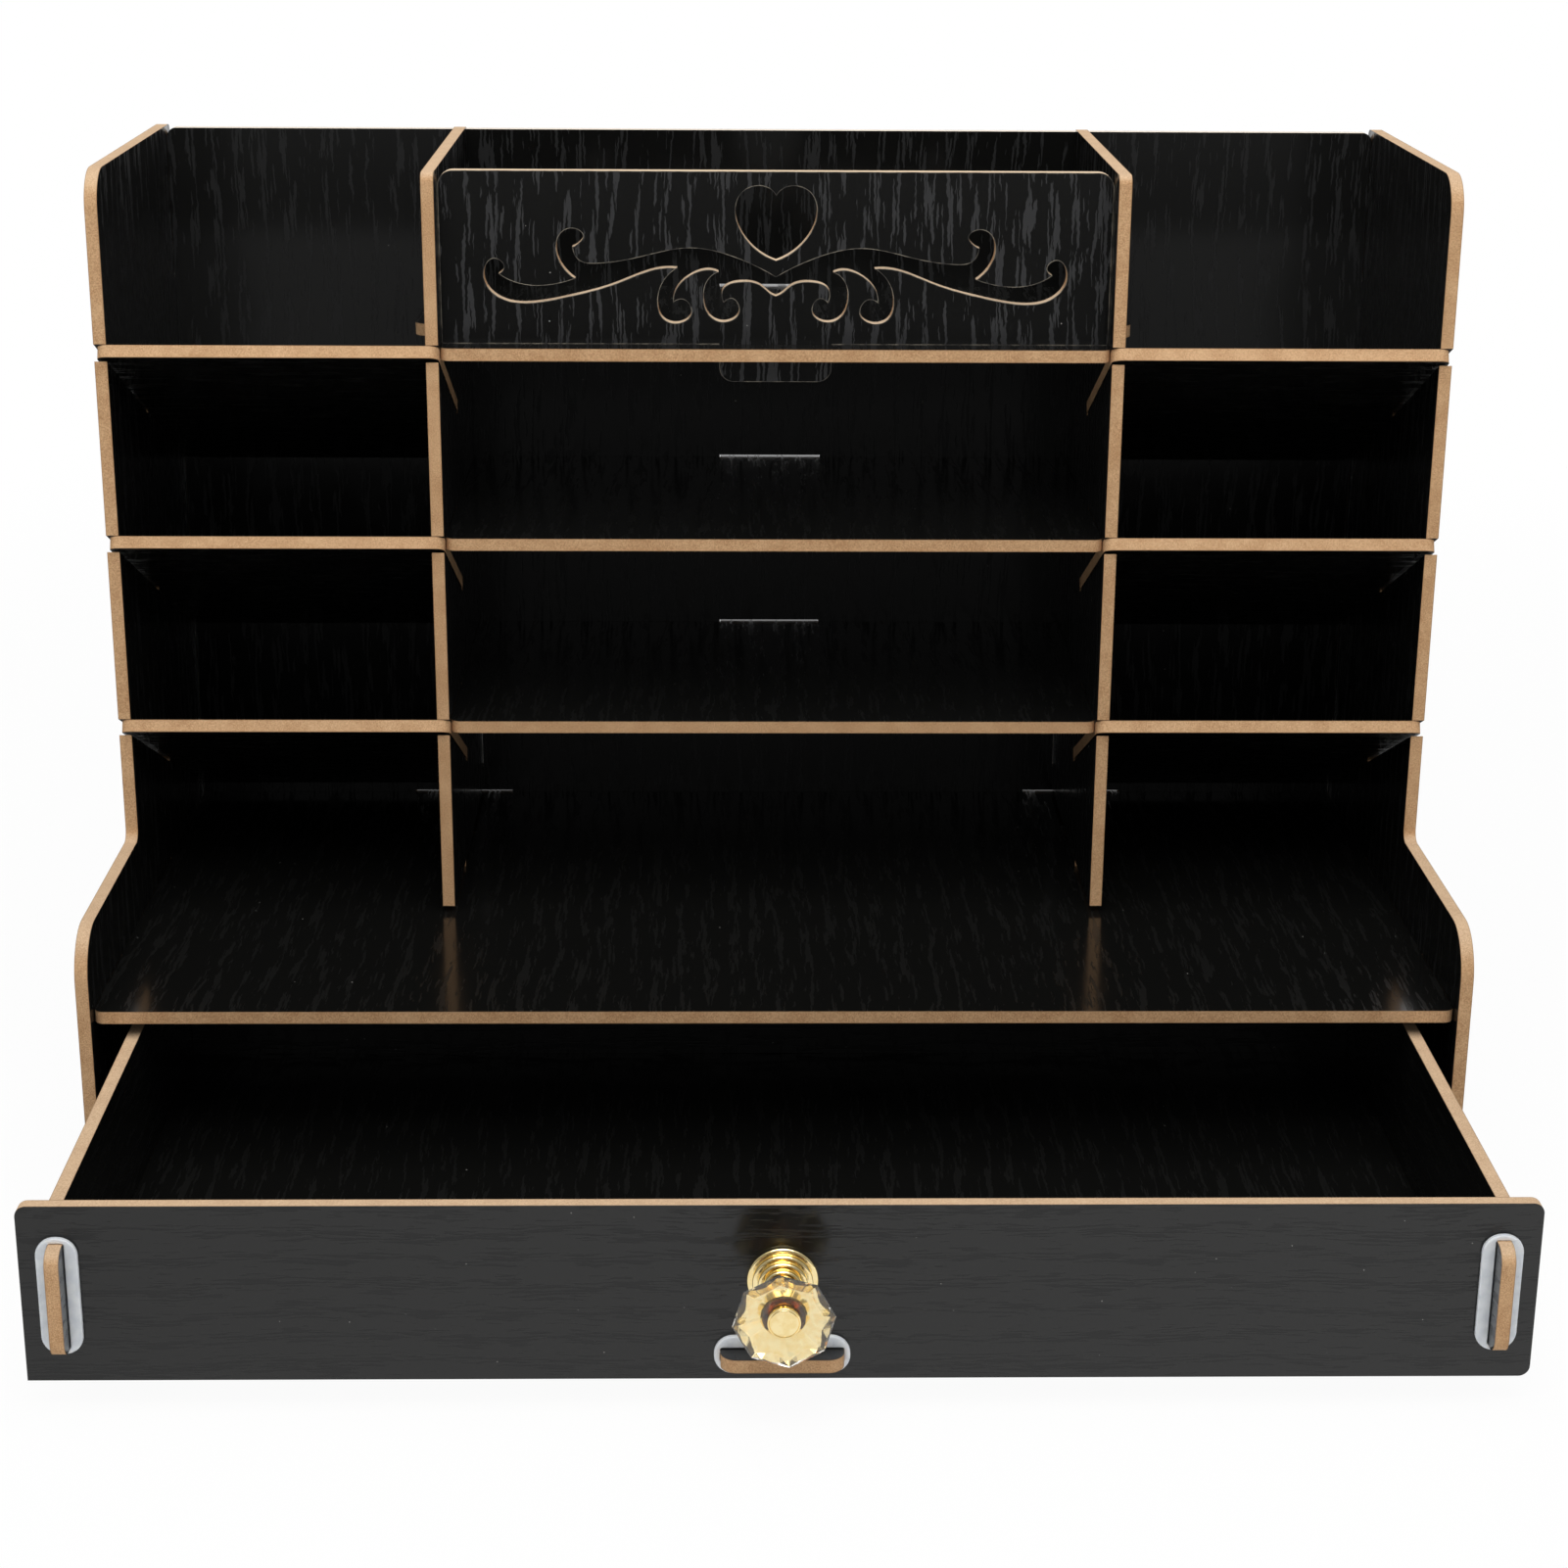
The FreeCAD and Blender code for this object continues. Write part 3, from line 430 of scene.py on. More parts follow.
@dataclass(frozen=True)
class BoardFinish:
    """Thin board with a glossy black wood-grain film on both faces and raw fibreboard edges.

    A size is the width and the length of one mark, across and along the grain. A span is where a
    mark or a part of the surface starts and where it is complete.
    """

    thickness: float = 3.1 * MM
    film_span: Span = (0.85, 0.95)
    # Slope of the slanted slots whose walls get painted shade
    slot_fall: float | None = None
    slot_span: Span = (0.99, 0.997)

    film: Colour = linear(17, 17, 16)
    film_roughness: float = 0.155
    film_gloss: Span = (0.8, 1.2)
    wander: float = 5.2 * MM
    wander_size: Span = (120 * MM, 60 * MM)
    jag: float = 0.84 * MM
    jag_size: Span = (5.2 * MM, 1.3 * MM)
    jag_rough: float = 0.6
    ring_spacing: float = 6.2 * MM
    ring_weight: float = 0.085
    patch_size: Span = (8 * MM, 30 * MM)
    patch_weight: float = 0.16
    patch_bend: float = 9.0
    fibre_size: Span = (0.6 * MM, 28 * MM)
    fibre_height: float = 0.28
    emboss_depth: float = 0.012 * MM

    pore: Colour = linear(34, 34, 34)
    pore_roughness: float = 0.42
    pore_size: Span = (0.8 * MM, 11 * MM)
    pore_edge: float = 0.025
    sparsity: float = 0.662

    dust: Colour = linear(150, 148, 144)
    dust_spacing: float = 6 * MM
    dust_radius: float = 0.03
    dust_share: float = 0.25

    core_light: Colour = linear(219, 180, 137)
    core_dark: Colour = linear(172, 127, 84)
    core_span: Span = (0.33, 0.66)
    core_roughness: float = 0.9
    core_height: float = 0.9
    speck_size: float = 0.3 * MM
    cloud_size: float = 6 * MM
    cloud_weight: float = 0.2
    ragged: float = 0.3
    scorch: Colour = linear(104, 68, 40)
    scorch_span: Span = (0.84, 1.04)
    scorch_weight: float = 0.7
    # Painted shade on the walls of the slanted slots
    slot_shade: Colour = linear(20, 17, 14)
    # Painted top light: a pale colour mixed into the edges that face up, in place of the light from above
    painted_top_light: Colour = linear(246, 228, 200)
    painted_top_light_share: float = 0.12
    painted_top_light_span: Span = (0.3, 0.9)

    # Layers of noise that the marks are cut from, and how far apart the two faces lie in them
    PORE_LAYER = 3.0
    FIBRE_LAYER = 11.0
    PATCH_LAYER = 23.0
    FACE_GAP = 7.0

    def material(self, board: BoardShader) -> Material:
        """Make the finish for one board.

        Args:
            board: The board's empty tree.

        Returns:
            The material.
        """
        is_film = board.step(board.squareness, self.film_span)
        height, roughness, film = self.film_pattern(board)
        core_height, core = self.core_pattern(board)
        return board.finish(
            Base_Color=board.mix(is_film, core, film),
            Roughness=board.blend(is_film, self.core_roughness, roughness),
            Normal=board.bump(board.blend(is_film, core_height, height), self.emboss_depth),
        )

    def film_pattern(self, board: BoardShader) -> tuple[Socket, Socket, Socket]:
        """Draw the embossed pores and fibres of the film.

        Args:
            board: The board's tree.

        Returns:
            Height, roughness and colour of the film.
        """
        drift = board.streaks(board.across, self.wander_size, board.seed)
        tremble = board.streaks(board.across, self.jag_size, board.seed, rough=self.jag_rough)
        wavy = board.math("MULTIPLY_ADD", board.math("SUBTRACT", tremble, 0.5), self.jag, board.across)
        wavy = board.math("MULTIPLY_ADD", board.math("SUBTRACT", drift, 0.5), self.wander, wavy)
        side = board.math("SIGN", board.depth)
        marks = []
        for size, layer, detail in (
            (self.pore_size, self.PORE_LAYER, 3.0),
            (self.fibre_size, self.FIBRE_LAYER, 1.0),
            (self.patch_size, self.PATCH_LAYER, 1.0),
        ):
            face_layer = board.math("MULTIPLY_ADD", side, self.FACE_GAP, board.seed + layer)
            marks.append(board.streaks(wavy, size, face_layer, detail))
        pore, fibre, patch = marks
        bend = board.math("MULTIPLY", patch, self.patch_bend)
        turn = board.math("MULTIPLY_ADD", wavy, 2 * math.pi / self.ring_spacing, bend)
        density = board.math("MULTIPLY_ADD", patch, self.patch_weight, pore)
        density = board.math("MULTIPLY_ADD", board.math("COSINE", turn), self.ring_weight, density)
        cut = board.step(density, (self.sparsity, self.sparsity + self.pore_edge))
        height = board.math("SUBTRACT", board.math("MULTIPLY", fibre, self.fibre_height), cut)
        gloss = board.vary(fibre, self.film_roughness, self.film_gloss)
        film = self.add_dust(board, board.mix(cut, self.film, self.pore))
        return height, board.blend(cut, gloss, self.pore_roughness), film

    def add_dust(self, board: BoardShader, film: Socket) -> Socket:
        """Lay a few specks of dust on the film.

        Args:
            board: The board's tree.
            film: Colour of the clean film.

        Returns:
            The new colour.
        """
        cell = board.combine(board.along, board.across, board.math("ADD", board.depth, board.seed))
        specks = board.add("TexVoronoi", Vector=cell, Scale=1 / self.dust_spacing).outputs
        near = board.math("LESS_THAN", specks["Distance"], self.dust_radius)
        chosen = board.add("SeparateColor", Color=specks["Color"]).outputs[0]
        few = board.math("LESS_THAN", chosen, self.dust_share)
        return board.mix(board.math("MULTIPLY", near, few), film, self.dust)

    def core_pattern(self, board: BoardShader) -> tuple[Socket, Socket]:
        """Draw the fibreboard of the cut edges, scorched beside the film, and paler where it faces up with
        painted top light.

        Args:
            board: The board's tree.

        Returns:
            Height and colour of the edge.
        """
        moved = board.vector("ADD", board.spot, (board.seed, board.seed, board.seed))
        speck = board.noise(moved, 1 / self.speck_size, detail=3.0, rough=0.7)
        cloud = board.noise(moved, 1 / self.cloud_size)
        grain = board.math("MULTIPLY", speck, 1 - self.cloud_weight)
        tone = board.step(board.math("MULTIPLY_ADD", cloud, self.cloud_weight, grain), self.core_span)
        core = board.mix(tone, self.core_dark, self.core_light)

        # Painted top light: the more an edge faces up, the more it is mixed towards a pale colour
        raised = board.step(board.dot(board.normal, Vector(Axis.Z.value)), self.painted_top_light_span)
        top_light_amount = board.math("MULTIPLY_ADD", speck, self.ragged, self.painted_top_light_share)
        core = board.mix(board.math("MULTIPLY", raised, top_light_amount), core, self.painted_top_light)
        rim = board.math("DIVIDE", board.math("ABSOLUTE", board.depth), self.thickness / 2)
        rim = board.math("MULTIPLY_ADD", board.math("SUBTRACT", speck, 0.5), self.ragged, rim)
        burnt = board.math("MULTIPLY", board.step(rim, self.scorch_span), self.scorch_weight)
        core = board.mix(burnt, core, self.scorch)
        # Painted shade on the walls of the slanted slots
        if self.slot_fall is not None:
            core = self.shade_slot_walls(board, core)
        return board.math("MULTIPLY", speck, self.core_height), core

    def shade_slot_walls(self, board: BoardShader, core: Socket) -> Socket:
        """Darken the fibreboard on the walls of the slanted slots with painted shade, where little light
        gets in.
        """
        squarely = board.math("ABSOLUTE", board.dot(board.normal, sloped(Axis.Z, self.slot_fall)))
        return board.mix(board.step(squarely, self.slot_span), core, self.slot_shade)


@dataclass(frozen=True)
class PaintedEdgeHighlight:
    """Painted highlight: a pale line, paler in some places than others, in place of the light caught by a
    board's front edges.
    """

    name: str = "painted_edge_highlight"
    pale: Colour = linear(130, 122, 108)
    dark: Colour = linear(52, 49, 46)
    length: float = 3 * MM
    glint_span: Span = (0.35, 0.65)
    roughness: Span = (0.35, 0.6)

    def material(self) -> Material:
        """Make the material.

        Returns:
            The material.
        """
        shader = new_shader(self.name)
        # Painted highlight: noise picks the pale and the darker stretches of the line
        glint = shader.noise(shader.place(), 1 / self.length, detail=4.0, rough=0.6)
        glint = shader.step(glint, self.glint_span)
        return shader.finish(
            Base_Color=shader.mix(glint, self.dark, self.pale),
            Roughness=shader.blend(glint, *self.roughness),
        )


@dataclass(frozen=True)
class MilkyPlastic:
    """Clear soft plastic with a milky body, as of the rings that lock the tabs."""

    name: str = "ring_plastic"
    colour: Colour = linear(243, 247, 252)
    shade: Colour = linear(228, 233, 240)
    flow_size: float = 2.4 * MM
    flow_span: Span = (0.3, 0.7)
    skin_size: float = 0.4 * MM
    skin_depth: float = 0.02 * MM
    roughness: float = 0.3
    gloss: Span = (0.8, 1.2)
    ior: float = 1.48
    transmission: float = 0.05
    subsurface: float = 0.3
    depth: tuple[float, float, float] = (1.2 * MM, 1.2 * MM, 1.4 * MM)

    def material(self) -> Material:
        """Make the material, with streaks from the mould.

        Returns:
            The material.
        """
        shader = new_shader(self.name)
        place = shader.place()
        flow = shader.noise(place, 1 / self.flow_size, detail=3.0)
        skin = shader.noise(place, 1 / self.skin_size)
        return shader.finish(
            Base_Color=shader.mix(shader.step(flow, self.flow_span), self.shade, self.colour),
            Roughness=shader.vary(flow, self.roughness, self.gloss),
            IOR=self.ior,
            Transmission_Weight=self.transmission,
            Subsurface_Weight=self.subsurface,
            Subsurface_Radius=self.depth,
            Subsurface_Scale=1.0,
            Normal=shader.bump(skin, self.skin_depth),
        )


@dataclass(frozen=True)
class GoldPlate:
    """Bright gold-coloured plating over turned metal."""

    name: str = "gold_plate"
    bright: Colour = linear(253, 233, 178)
    deep: Colour = linear(247, 222, 160)
    roughness: float = 0.045
    gloss: Span = (0.7, 1.5)
    tone_scale: float = 0.6 / MM
    tone_span: Span = (0.35, 0.65)
    turning_pitch: float = 0.12 * MM
    turning_depth: float = 0.0015 * MM

    def material(self) -> Material:
        """Make the material, with fine marks from turning.

        Returns:
            The material.
        """
        shader = new_shader(self.name)
        place = shader.place()
        tone = shader.noise(place, self.tone_scale)
        out = shader.math("DIVIDE", shader.split(place)[1], self.turning_pitch)
        marks = shader.noise(shader.combine(0.0, out, 0.0), 1.0)
        return shader.finish(
            Base_Color=shader.mix(shader.step(tone, self.tone_span), self.deep, self.bright),
            Metallic=1.0,
            Roughness=shader.vary(marks, self.roughness, self.gloss),
            Normal=shader.bump(marks, self.turning_depth),
        )


@dataclass(frozen=True)
class CutCrystal:
    """Clear polished crystal."""

    name: str = "cut_crystal"
    colour: Colour = linear(255, 250, 238)
    tint_size: float = 5 * MM
    roughness: float = 0.0
    ior: float = 1.5
    transmission: float = 0.92
    wave_size: float = 2 * MM
    wave_depth: float = 0.0006 * MM

    def material(self) -> Material:
        """Make the material, with the faint waves of a polished facet.

        Returns:
            The material.
        """
        shader = new_shader(self.name)
        place = shader.place()
        waves = shader.noise(place, 1 / self.wave_size, detail=1.0)
        tint = shader.noise(place, 1 / self.tint_size, detail=1.0)
        return shader.finish(
            Base_Color=shader.mix(tint, self.colour, WHITE),
            Roughness=self.roughness,
            IOR=self.ior,
            Transmission_Weight=self.transmission,
            Normal=shader.bump(waves, self.wave_depth),
        )


@dataclass(frozen=True)
class ZincPlate:
    """Dull zinc plating on a steel screw."""

    name: str = "zinc_plate"
    light: Colour = linear(205, 206, 203)
    dark: Colour = linear(150, 152, 150)
    roughness: float = 0.34
    gloss: Span = (0.8, 1.3)
    cloud_scale: float = 1.4 / MM
    cloud_span: Span = (0.3, 0.7)
    cloud_depth: float = 0.01 * MM

    def material(self) -> Material:
        """Make the material, with its cloudy crystals.

        Returns:
            The material.
        """
        shader = new_shader(self.name)
        cloud = shader.noise(shader.place(), self.cloud_scale, detail=4.0, rough=0.6)
        return shader.finish(
            Base_Color=shader.mix(shader.step(cloud, self.cloud_span), self.dark, self.light),
            Metallic=1.0,
            Roughness=shader.vary(cloud, self.roughness, self.gloss),
            Normal=shader.bump(cloud, self.cloud_depth),
        )


# Sub-assemblies


@dataclass
class Boards:
    """A set of boards that face one way and share the run of their grain."""

    names: tuple[str, ...]
    facing: Axis
    grain: Axis
    fall: float = 0.0
    finish: BoardFinish = BoardFinish()

    def dress(self, first_seed: int) -> int:
        """Give each board its own finish.

        Args:
            first_seed: Seed of the first board's grain.

        Returns:
            The seed after the last one used.
        """
        facing, grain = sloped(self.facing, self.fall), sloped(self.grain, self.fall)
        for number, name in enumerate(self.names, start=first_seed):
            board = BoardShader(name, facing, grain, self.middle(name, facing), number * SEED_STEP)
            redress(name, self.finish.material(board))
        return first_seed + len(self.names)

    @staticmethod
    def middle(name: str, facing: Vector) -> Vector:
        """Find a point in the middle of a board's thickness.

        Args:
            name: Name of the board.
            facing: Unit normal of its faces.

        Returns:
            The point.
        """
        low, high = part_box(name)
        heights = [vertex.co.dot(facing) for vertex in frame["nodes"][name].data.vertices]
        centre = (low + high) / 2
        return centre + facing * ((min(heights) + max(heights)) / 2 - centre.dot(facing))


@dataclass
class HighlightLine:
    """Painted highlight: the fine pale line round the front of a board, in place of the light that its
    edges catch.
    """

    node: str
    width: float = 0.17 * MM
    lift: float = 0.02 * MM
    facing_limit: float = -0.99
    key_digits: int = 3

    def build(self, highlight: Material) -> None:
        """Lay the line along every edge of the board's front, openings included.

        Args:
            highlight: Material of the line.
        """
        vertices, faces = [], []
        out = Vector((0, -self.lift, 0))
        for start, end, inside in self.rim():
            along = (end - start).normalized()
            inward = inside - start
            inward = (inward - along * inward.dot(along)).normalized() * self.width
            first = len(vertices)
            vertices += [start + out, end + out, end + inward + out, start + inward + out]
            faces.append((first, first + 1, first + 2, first + 3))
        add_on(make_piece(f"{self.node}_highlight_line", vertices, faces, highlight, None), self.node)

    def rim(self) -> list[tuple[Vector, Vector, Vector]]:
        """Find the edges of the board's front.

        Returns:
            For each edge its two ends and a point of the face beside it.
        """
        mesh = frame["nodes"][self.node].data
        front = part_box(self.node)[0].y
        edges: dict[frozenset, tuple[Vector, Vector, Vector]] = {}
        shared = set()
        for face in mesh.polygons:
            if face.normal.y > self.facing_limit or abs(face.center.y - front) > self.lift:
                continue
            corners = [mesh.vertices[number].co.copy() for number in face.vertices]
            for start, end in zip(corners, corners[1:] + corners[:1]):
                key = frozenset(
                    tuple(round(value / MM, self.key_digits) for value in point) for point in (start, end)
                )
                if key in edges:
                    shared.add(key)
                edges[key] = (start, end, face.center.copy())
        return [edge for key, edge in edges.items() if key not in shared]


@dataclass
class LockingRing:
    """A moulded ring pushed over a tab, with rounded edges and a slot that fits the tab."""

    node: str
    slot_width: float = 3.3 * MM
    end_wall: float = 1.3 * MM
    outer_corner: float = 4.2 * MM
    slot_corner: float = 0.5 * MM
    edge_round: float = 0.32 * MM
    corner_steps: int = 10
    edge_steps: int = 5

    def build(self, plastic: Material) -> None:
        """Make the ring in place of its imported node.

        Args:
            plastic: Material of the ring.
        """
        low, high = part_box(self.node)
        size, centre = high - low, (low + high) / 2
        thin = min(range(3), key=lambda axis: size[axis])
        long = max(range(3), key=lambda axis: size[axis])
        short = 3 - thin - long
        section = self.section(size[thin])
        vertices = []
        for is_inner, inset, out in section:
            if is_inner:
                half_long, half_short = size[long] / 2 - self.end_wall + inset, self.slot_width / 2 + inset
                radius = self.slot_corner + inset
            else:
                half_long, half_short = size[long] / 2 - inset, size[short] / 2 - inset
                radius = self.outer_corner - inset
            for along, across in rounded_rectangle(half_long, half_short, radius, self.corner_steps):
                spot = Vector()
                spot[long] = centre[long] + along
                spot[short] = centre[short] + across
                spot[thin] = low[thin] + out
                vertices.append(spot)
        faces = loop_faces(len(section), len(vertices) // len(section), closed=True)
        piece = make_piece(self.node.replace("_ring", "_lock_ring"), vertices, faces, plastic)
        turn_outwards(piece)
        stand_in(piece, self.node)

    def section(self, thickness: float) -> list[tuple[bool, float, float]]:
        """Walk round the ring's cross-section.

        Args:
            thickness: Thickness of the ring.

        Returns:
            For each point whether it lies on the inner outline, its inset and its distance along the
            ring's thickness.
        """
        quarter = arc((0, 0), self.edge_round, 0, 90, self.edge_steps)
        rounding = [(self.edge_round - x, self.edge_round - y) for x, y in quarter]
        outer_up = [(False, inset, thickness - rise) for inset, rise in rounding]
        inner_down = [(True, inset, thickness - rise) for inset, rise in reversed(rounding)]
        inner_foot = [(True, inset, rise) for inset, rise in rounding]
        outer_foot = [(False, inset, rise) for inset, rise in reversed(rounding)]
        return outer_up + inner_down + inner_foot + outer_foot


@dataclass
class KnobPart:
    """What the knob's parts share: the knob's axis and the drawer's face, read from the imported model."""

    def __post_init__(self) -> None:
        """Read the axis and the face."""
        low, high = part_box("knob_cap")
        self.axis = (low + high) / 2
        self.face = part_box("drawer_front")[0].y

    def reach(self, node: str) -> float:
        """Give how far a node reaches sideways from the knob's axis."""
        low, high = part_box(node)
        return (high.x - low.x) / 2

    def out(self, node: str) -> tuple[float, float]:
        """Give how far a node starts and ends in front of the drawer's face."""
        low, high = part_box(node)
        return self.face - high.y, self.face - low.y

    def point(self, radius: float, angle: float, out: float) -> Vector:
        """Place a point by its radius, its angle round the axis and its distance from the face."""
        aside, above = radius * math.cos(angle), radius * math.sin(angle)
        return Vector((self.axis.x + aside, self.face - out, self.axis.z + above))


@dataclass
class TurnedKnob(KnobPart):
    """Turned foot, neck and cap, and the screw."""

    around: int = 96
    bead_steps: int = 8
    foot_margin: float = 0.3 * MM
    foot_beads: int = 4
    bead_inset: float = 1.15 * MM
    waist_low: tuple[Point, ...] = ((3.3 * MM, 0.0), (3.0 * MM, 0.8 * MM), (2.9 * MM, 1.7 * MM))
    waist_high: tuple[Point, ...] = ((3.1 * MM, -0.5 * MM), (3.3 * MM, 0.0))
    collar_height: float = 1.0 * MM
    pin_radius: float = 1.6 * MM
    cap_height: float = 2.0 * MM
    cap_bevel: float = 0.1 * MM
    cap_round: float = 0.2 * MM
    rim_drop: float = 0.25 * MM
    rim_turn: float = 120.0
    groove: Span = (0.38 * MM, 0.42 * MM)
    disc_inset: float = 0.62 * MM
    gold: GoldPlate = GoldPlate()
    zinc: ZincPlate = ZincPlate()

    def build(self) -> None:
        """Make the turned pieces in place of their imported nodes."""
        gold = self.gold.material()
        for name, profile in (
            ("rosette", self.rosette_profile()),
            ("neck", self.neck_profile()),
            ("cap", self.cap_profile()),
        ):
            stand_in(self.turned(name, profile, gold), f"knob_{name}")
        redress("knob_screw", self.zinc.material())

    def turned(self, name: str, profile: list[Point], material: Material) -> Piece:
        """Turn a profile round the knob's axis.

        Args:
            name: Name of the piece.
            profile: (radius, distance in front of the face), from axis to axis.
            material: Material of the piece.

        Returns:
            The new object.
        """
        vertices = [
            self.point(radius, 2 * math.pi * step / self.around, distance)
            for radius, distance in profile
            for step in range(self.around)
        ]
        piece = make_piece(name, vertices, loop_faces(len(profile), self.around), material)
        turn_outwards(piece)
        piece.data.set_sharp_from_angle(angle=SHARP_TURN)
        return piece

    def rosette_profile(self) -> list[Point]:
        """Draw the foot: rounded beads, each smaller than the last.

        Returns:
            The profile.
        """
        start, end = self.out("knob_rosette")
        radius = self.reach("knob_rosette")
        step = (end - start) / self.foot_beads
        half = step / 2
        profile = [(0.0, start), (radius - self.foot_margin, start)]
        for bead in range(self.foot_beads):
            centre = (radius - bead * self.bead_inset - half, start + bead * step + half)
            profile += arc(centre, half, -90, 90, self.bead_steps)
        return [*profile, (0.0, end)]

    def neck_profile(self) -> list[Point]:
        """Draw the neck: a waist that flares into a collar under the crystal.

        Returns:
            The profile.
        """
        start, end = self.out("knob_neck")
        half = self.collar_height / 2
        seat = end - self.collar_height
        low = [(radius, start + rise) for radius, rise in self.waist_low]
        high = [(radius, seat + rise) for radius, rise in self.waist_high]
        rim = arc((self.reach("knob_neck") - half, seat + half), half, -90, 90, self.bead_steps)
        return [(0.0, start), *low, *high, *rim, (0.0, end)]

    def cap_profile(self) -> list[Point]:
        """Draw the cap: a pin through the crystal and a disc with a raised rim.

        Returns:
            The profile.
        """
        start, end = self.out("knob_cap")
        radius = self.reach("knob_cap")
        seat, floor = end - self.cap_height, end - self.cap_round
        pin = [(0.0, start), (self.pin_radius, start), (self.pin_radius, seat)]
        rim_centre = (radius - self.cap_round, end - self.rim_drop)
        rim = arc(rim_centre, self.cap_round, 0, self.rim_turn, self.bead_steps)
        groove = [(radius - inset, floor) for inset in self.groove]
        disc = arc((radius - self.disc_inset, floor), self.cap_round, 0, 90, self.bead_steps)
        return [*pin, (radius - self.cap_bevel, seat), *rim, *groove, *disc, (0.0, end)]


@dataclass
class CrystalHead(KnobPart):
    """Eight-sided cut crystal with a bowl of gold foil inside."""

    sides: int = 8
    twist: float = math.radians(6)
    bore: float = 1.7 * MM
    back_radius: float = 5.5 * MM
    waist_radius: float = 7.9 * MM
    waist_share: float = 0.45
    girdle_drop: float = 0.5 * MM
    nick: float = 0.3
    nick_lift: float = 0.1 * MM
    tip_radius: float = 8.6 * MM
    petal_radius: float = 7.6 * MM
    petal_drop: float = 0.55 * MM
    dish_radius: float = 4.6 * MM
    dish_drop: float = 1.9 * MM
    foil_rows: int = 6
    # Rows of the foil nearest its bottom that get painted shade in dark amber
    amber_shaded_rows: int = 2
    foil_flutes: int = 4
    foil_ripple: float = 0.03
    foil_flare: float = 1.15
    foil_drops: Span = (4.0 * MM, 0.66 * MM)
    foil_narrow: float = 1.95 * MM
    foil_spread: float = 0.98
    crystal: CutCrystal = CutCrystal()
    foil: GoldPlate = GoldPlate("gold_foil", linear(255, 238, 186), linear(253, 228, 164), 0.1)
    # Painted shade: the dark amber of the gold neck seen in shadow through the crystal
    amber_shade_paint: GoldPlate = GoldPlate("painted_amber_shade", linear(236, 158, 58), linear(136, 72, 20), 0.12)

    # Corner points of the facets between one corner and the next, which has a plus
    FACETS = (
        ("back", "back_side", "waist"), ("back_side", "+waist", "waist"), ("back_side", "+back", "+waist"),
        ("waist", "+waist", "waist_side"), ("waist", "waist_side", "after"), ("waist", "after", "girdle"),
        ("waist_side", "+before", "after"), ("waist_side", "+waist", "+before"),
        ("+waist", "+girdle", "+before"), ("bore_back", "+bore_back", "back_side"),
        ("bore_back", "back_side", "back"), ("+bore_back", "+back", "back_side"),
        ("bore_back", "bore_front", "+bore_front", "+bore_back"),
        ("girdle", "after", "tip"), ("girdle", "tip", "before"), ("after", "petal", "tip"),
        ("after", "+before", "petal"), ("+before", "+tip", "petal"),
        ("tip", "petal", "dish_side", "dish"), ("petal", "+tip", "+dish", "dish_side"),
        ("dish", "dish_side", "bore_front"), ("dish_side", "+bore_front", "bore_front"),
        ("dish_side", "+dish", "+bore_front"),
    )

    def __post_init__(self) -> None:
        """Read the crystal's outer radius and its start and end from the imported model."""
        super().__post_init__()
        low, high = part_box("knob_crystal")
        self.radius = max(high.x - low.x, high.z - low.z) / 2 / math.cos(self.twist)
        self.start, self.end = self.out("knob_crystal")

    def build(self) -> None:
        """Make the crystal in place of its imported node, and the foil."""
        stand_in(self.build_crystal(), "knob_crystal")
        add_on(self.build_foil(), "knob_crystal")

    def build_crystal(self) -> Piece:
        """Cut the crystal: a tapered back and a dished front with cut corners.

        Returns:
            The new object.
        """
        half_turn = math.pi / self.sides
        flat, half_side = math.cos(half_turn), math.sin(half_turn) * (1 - 2 * self.nick)
        beside = self.radius * math.hypot(flat, half_side)
        turn = half_turn - math.atan2(half_side, flat)
        girdle, dish = self.end - self.girdle_drop, self.end - self.dish_drop
        waist = self.start + self.waist_share * (girdle - self.start)
        vertices: list[Vector] = []
        loops: dict[str, list[int]] = {}
        for name, radius, out, lead in (
            ("bore_back", self.bore, self.start, 0),
            ("bore_front", self.bore, dish, 0),
            ("back", self.back_radius, self.start, 0),
            ("back_side", self.back_radius * flat, self.start, half_turn),
            ("waist", self.waist_radius, waist, 0),
            ("waist_side", self.waist_radius * flat, waist, half_turn),
            ("girdle", self.radius, girdle, 0),
            ("before", beside, girdle + self.nick_lift, -turn),
            ("after", beside, girdle + self.nick_lift, turn),
            ("tip", self.tip_radius, self.end, 0),
            ("petal", self.petal_radius, self.end - self.petal_drop, half_turn),
            ("dish", self.dish_radius, dish, 0),
            ("dish_side", self.dish_radius, dish, half_turn),
        ):
            loops[name] = [len(vertices) + corner for corner in range(self.sides)]
            angles = [self.twist + 2 * half_turn * corner + lead for corner in range(self.sides)]
            vertices += [self.point(radius, angle, out) for angle in angles]
        faces = [
            tuple(loops[name.lstrip("+")][(corner + name.startswith("+")) % self.sides] for name in facet)
            for corner in range(self.sides)
            for facet in self.FACETS
        ]
        piece = make_piece("crystal", vertices, faces, self.crystal.material(), None)
        turn_outwards(piece)
        return piece

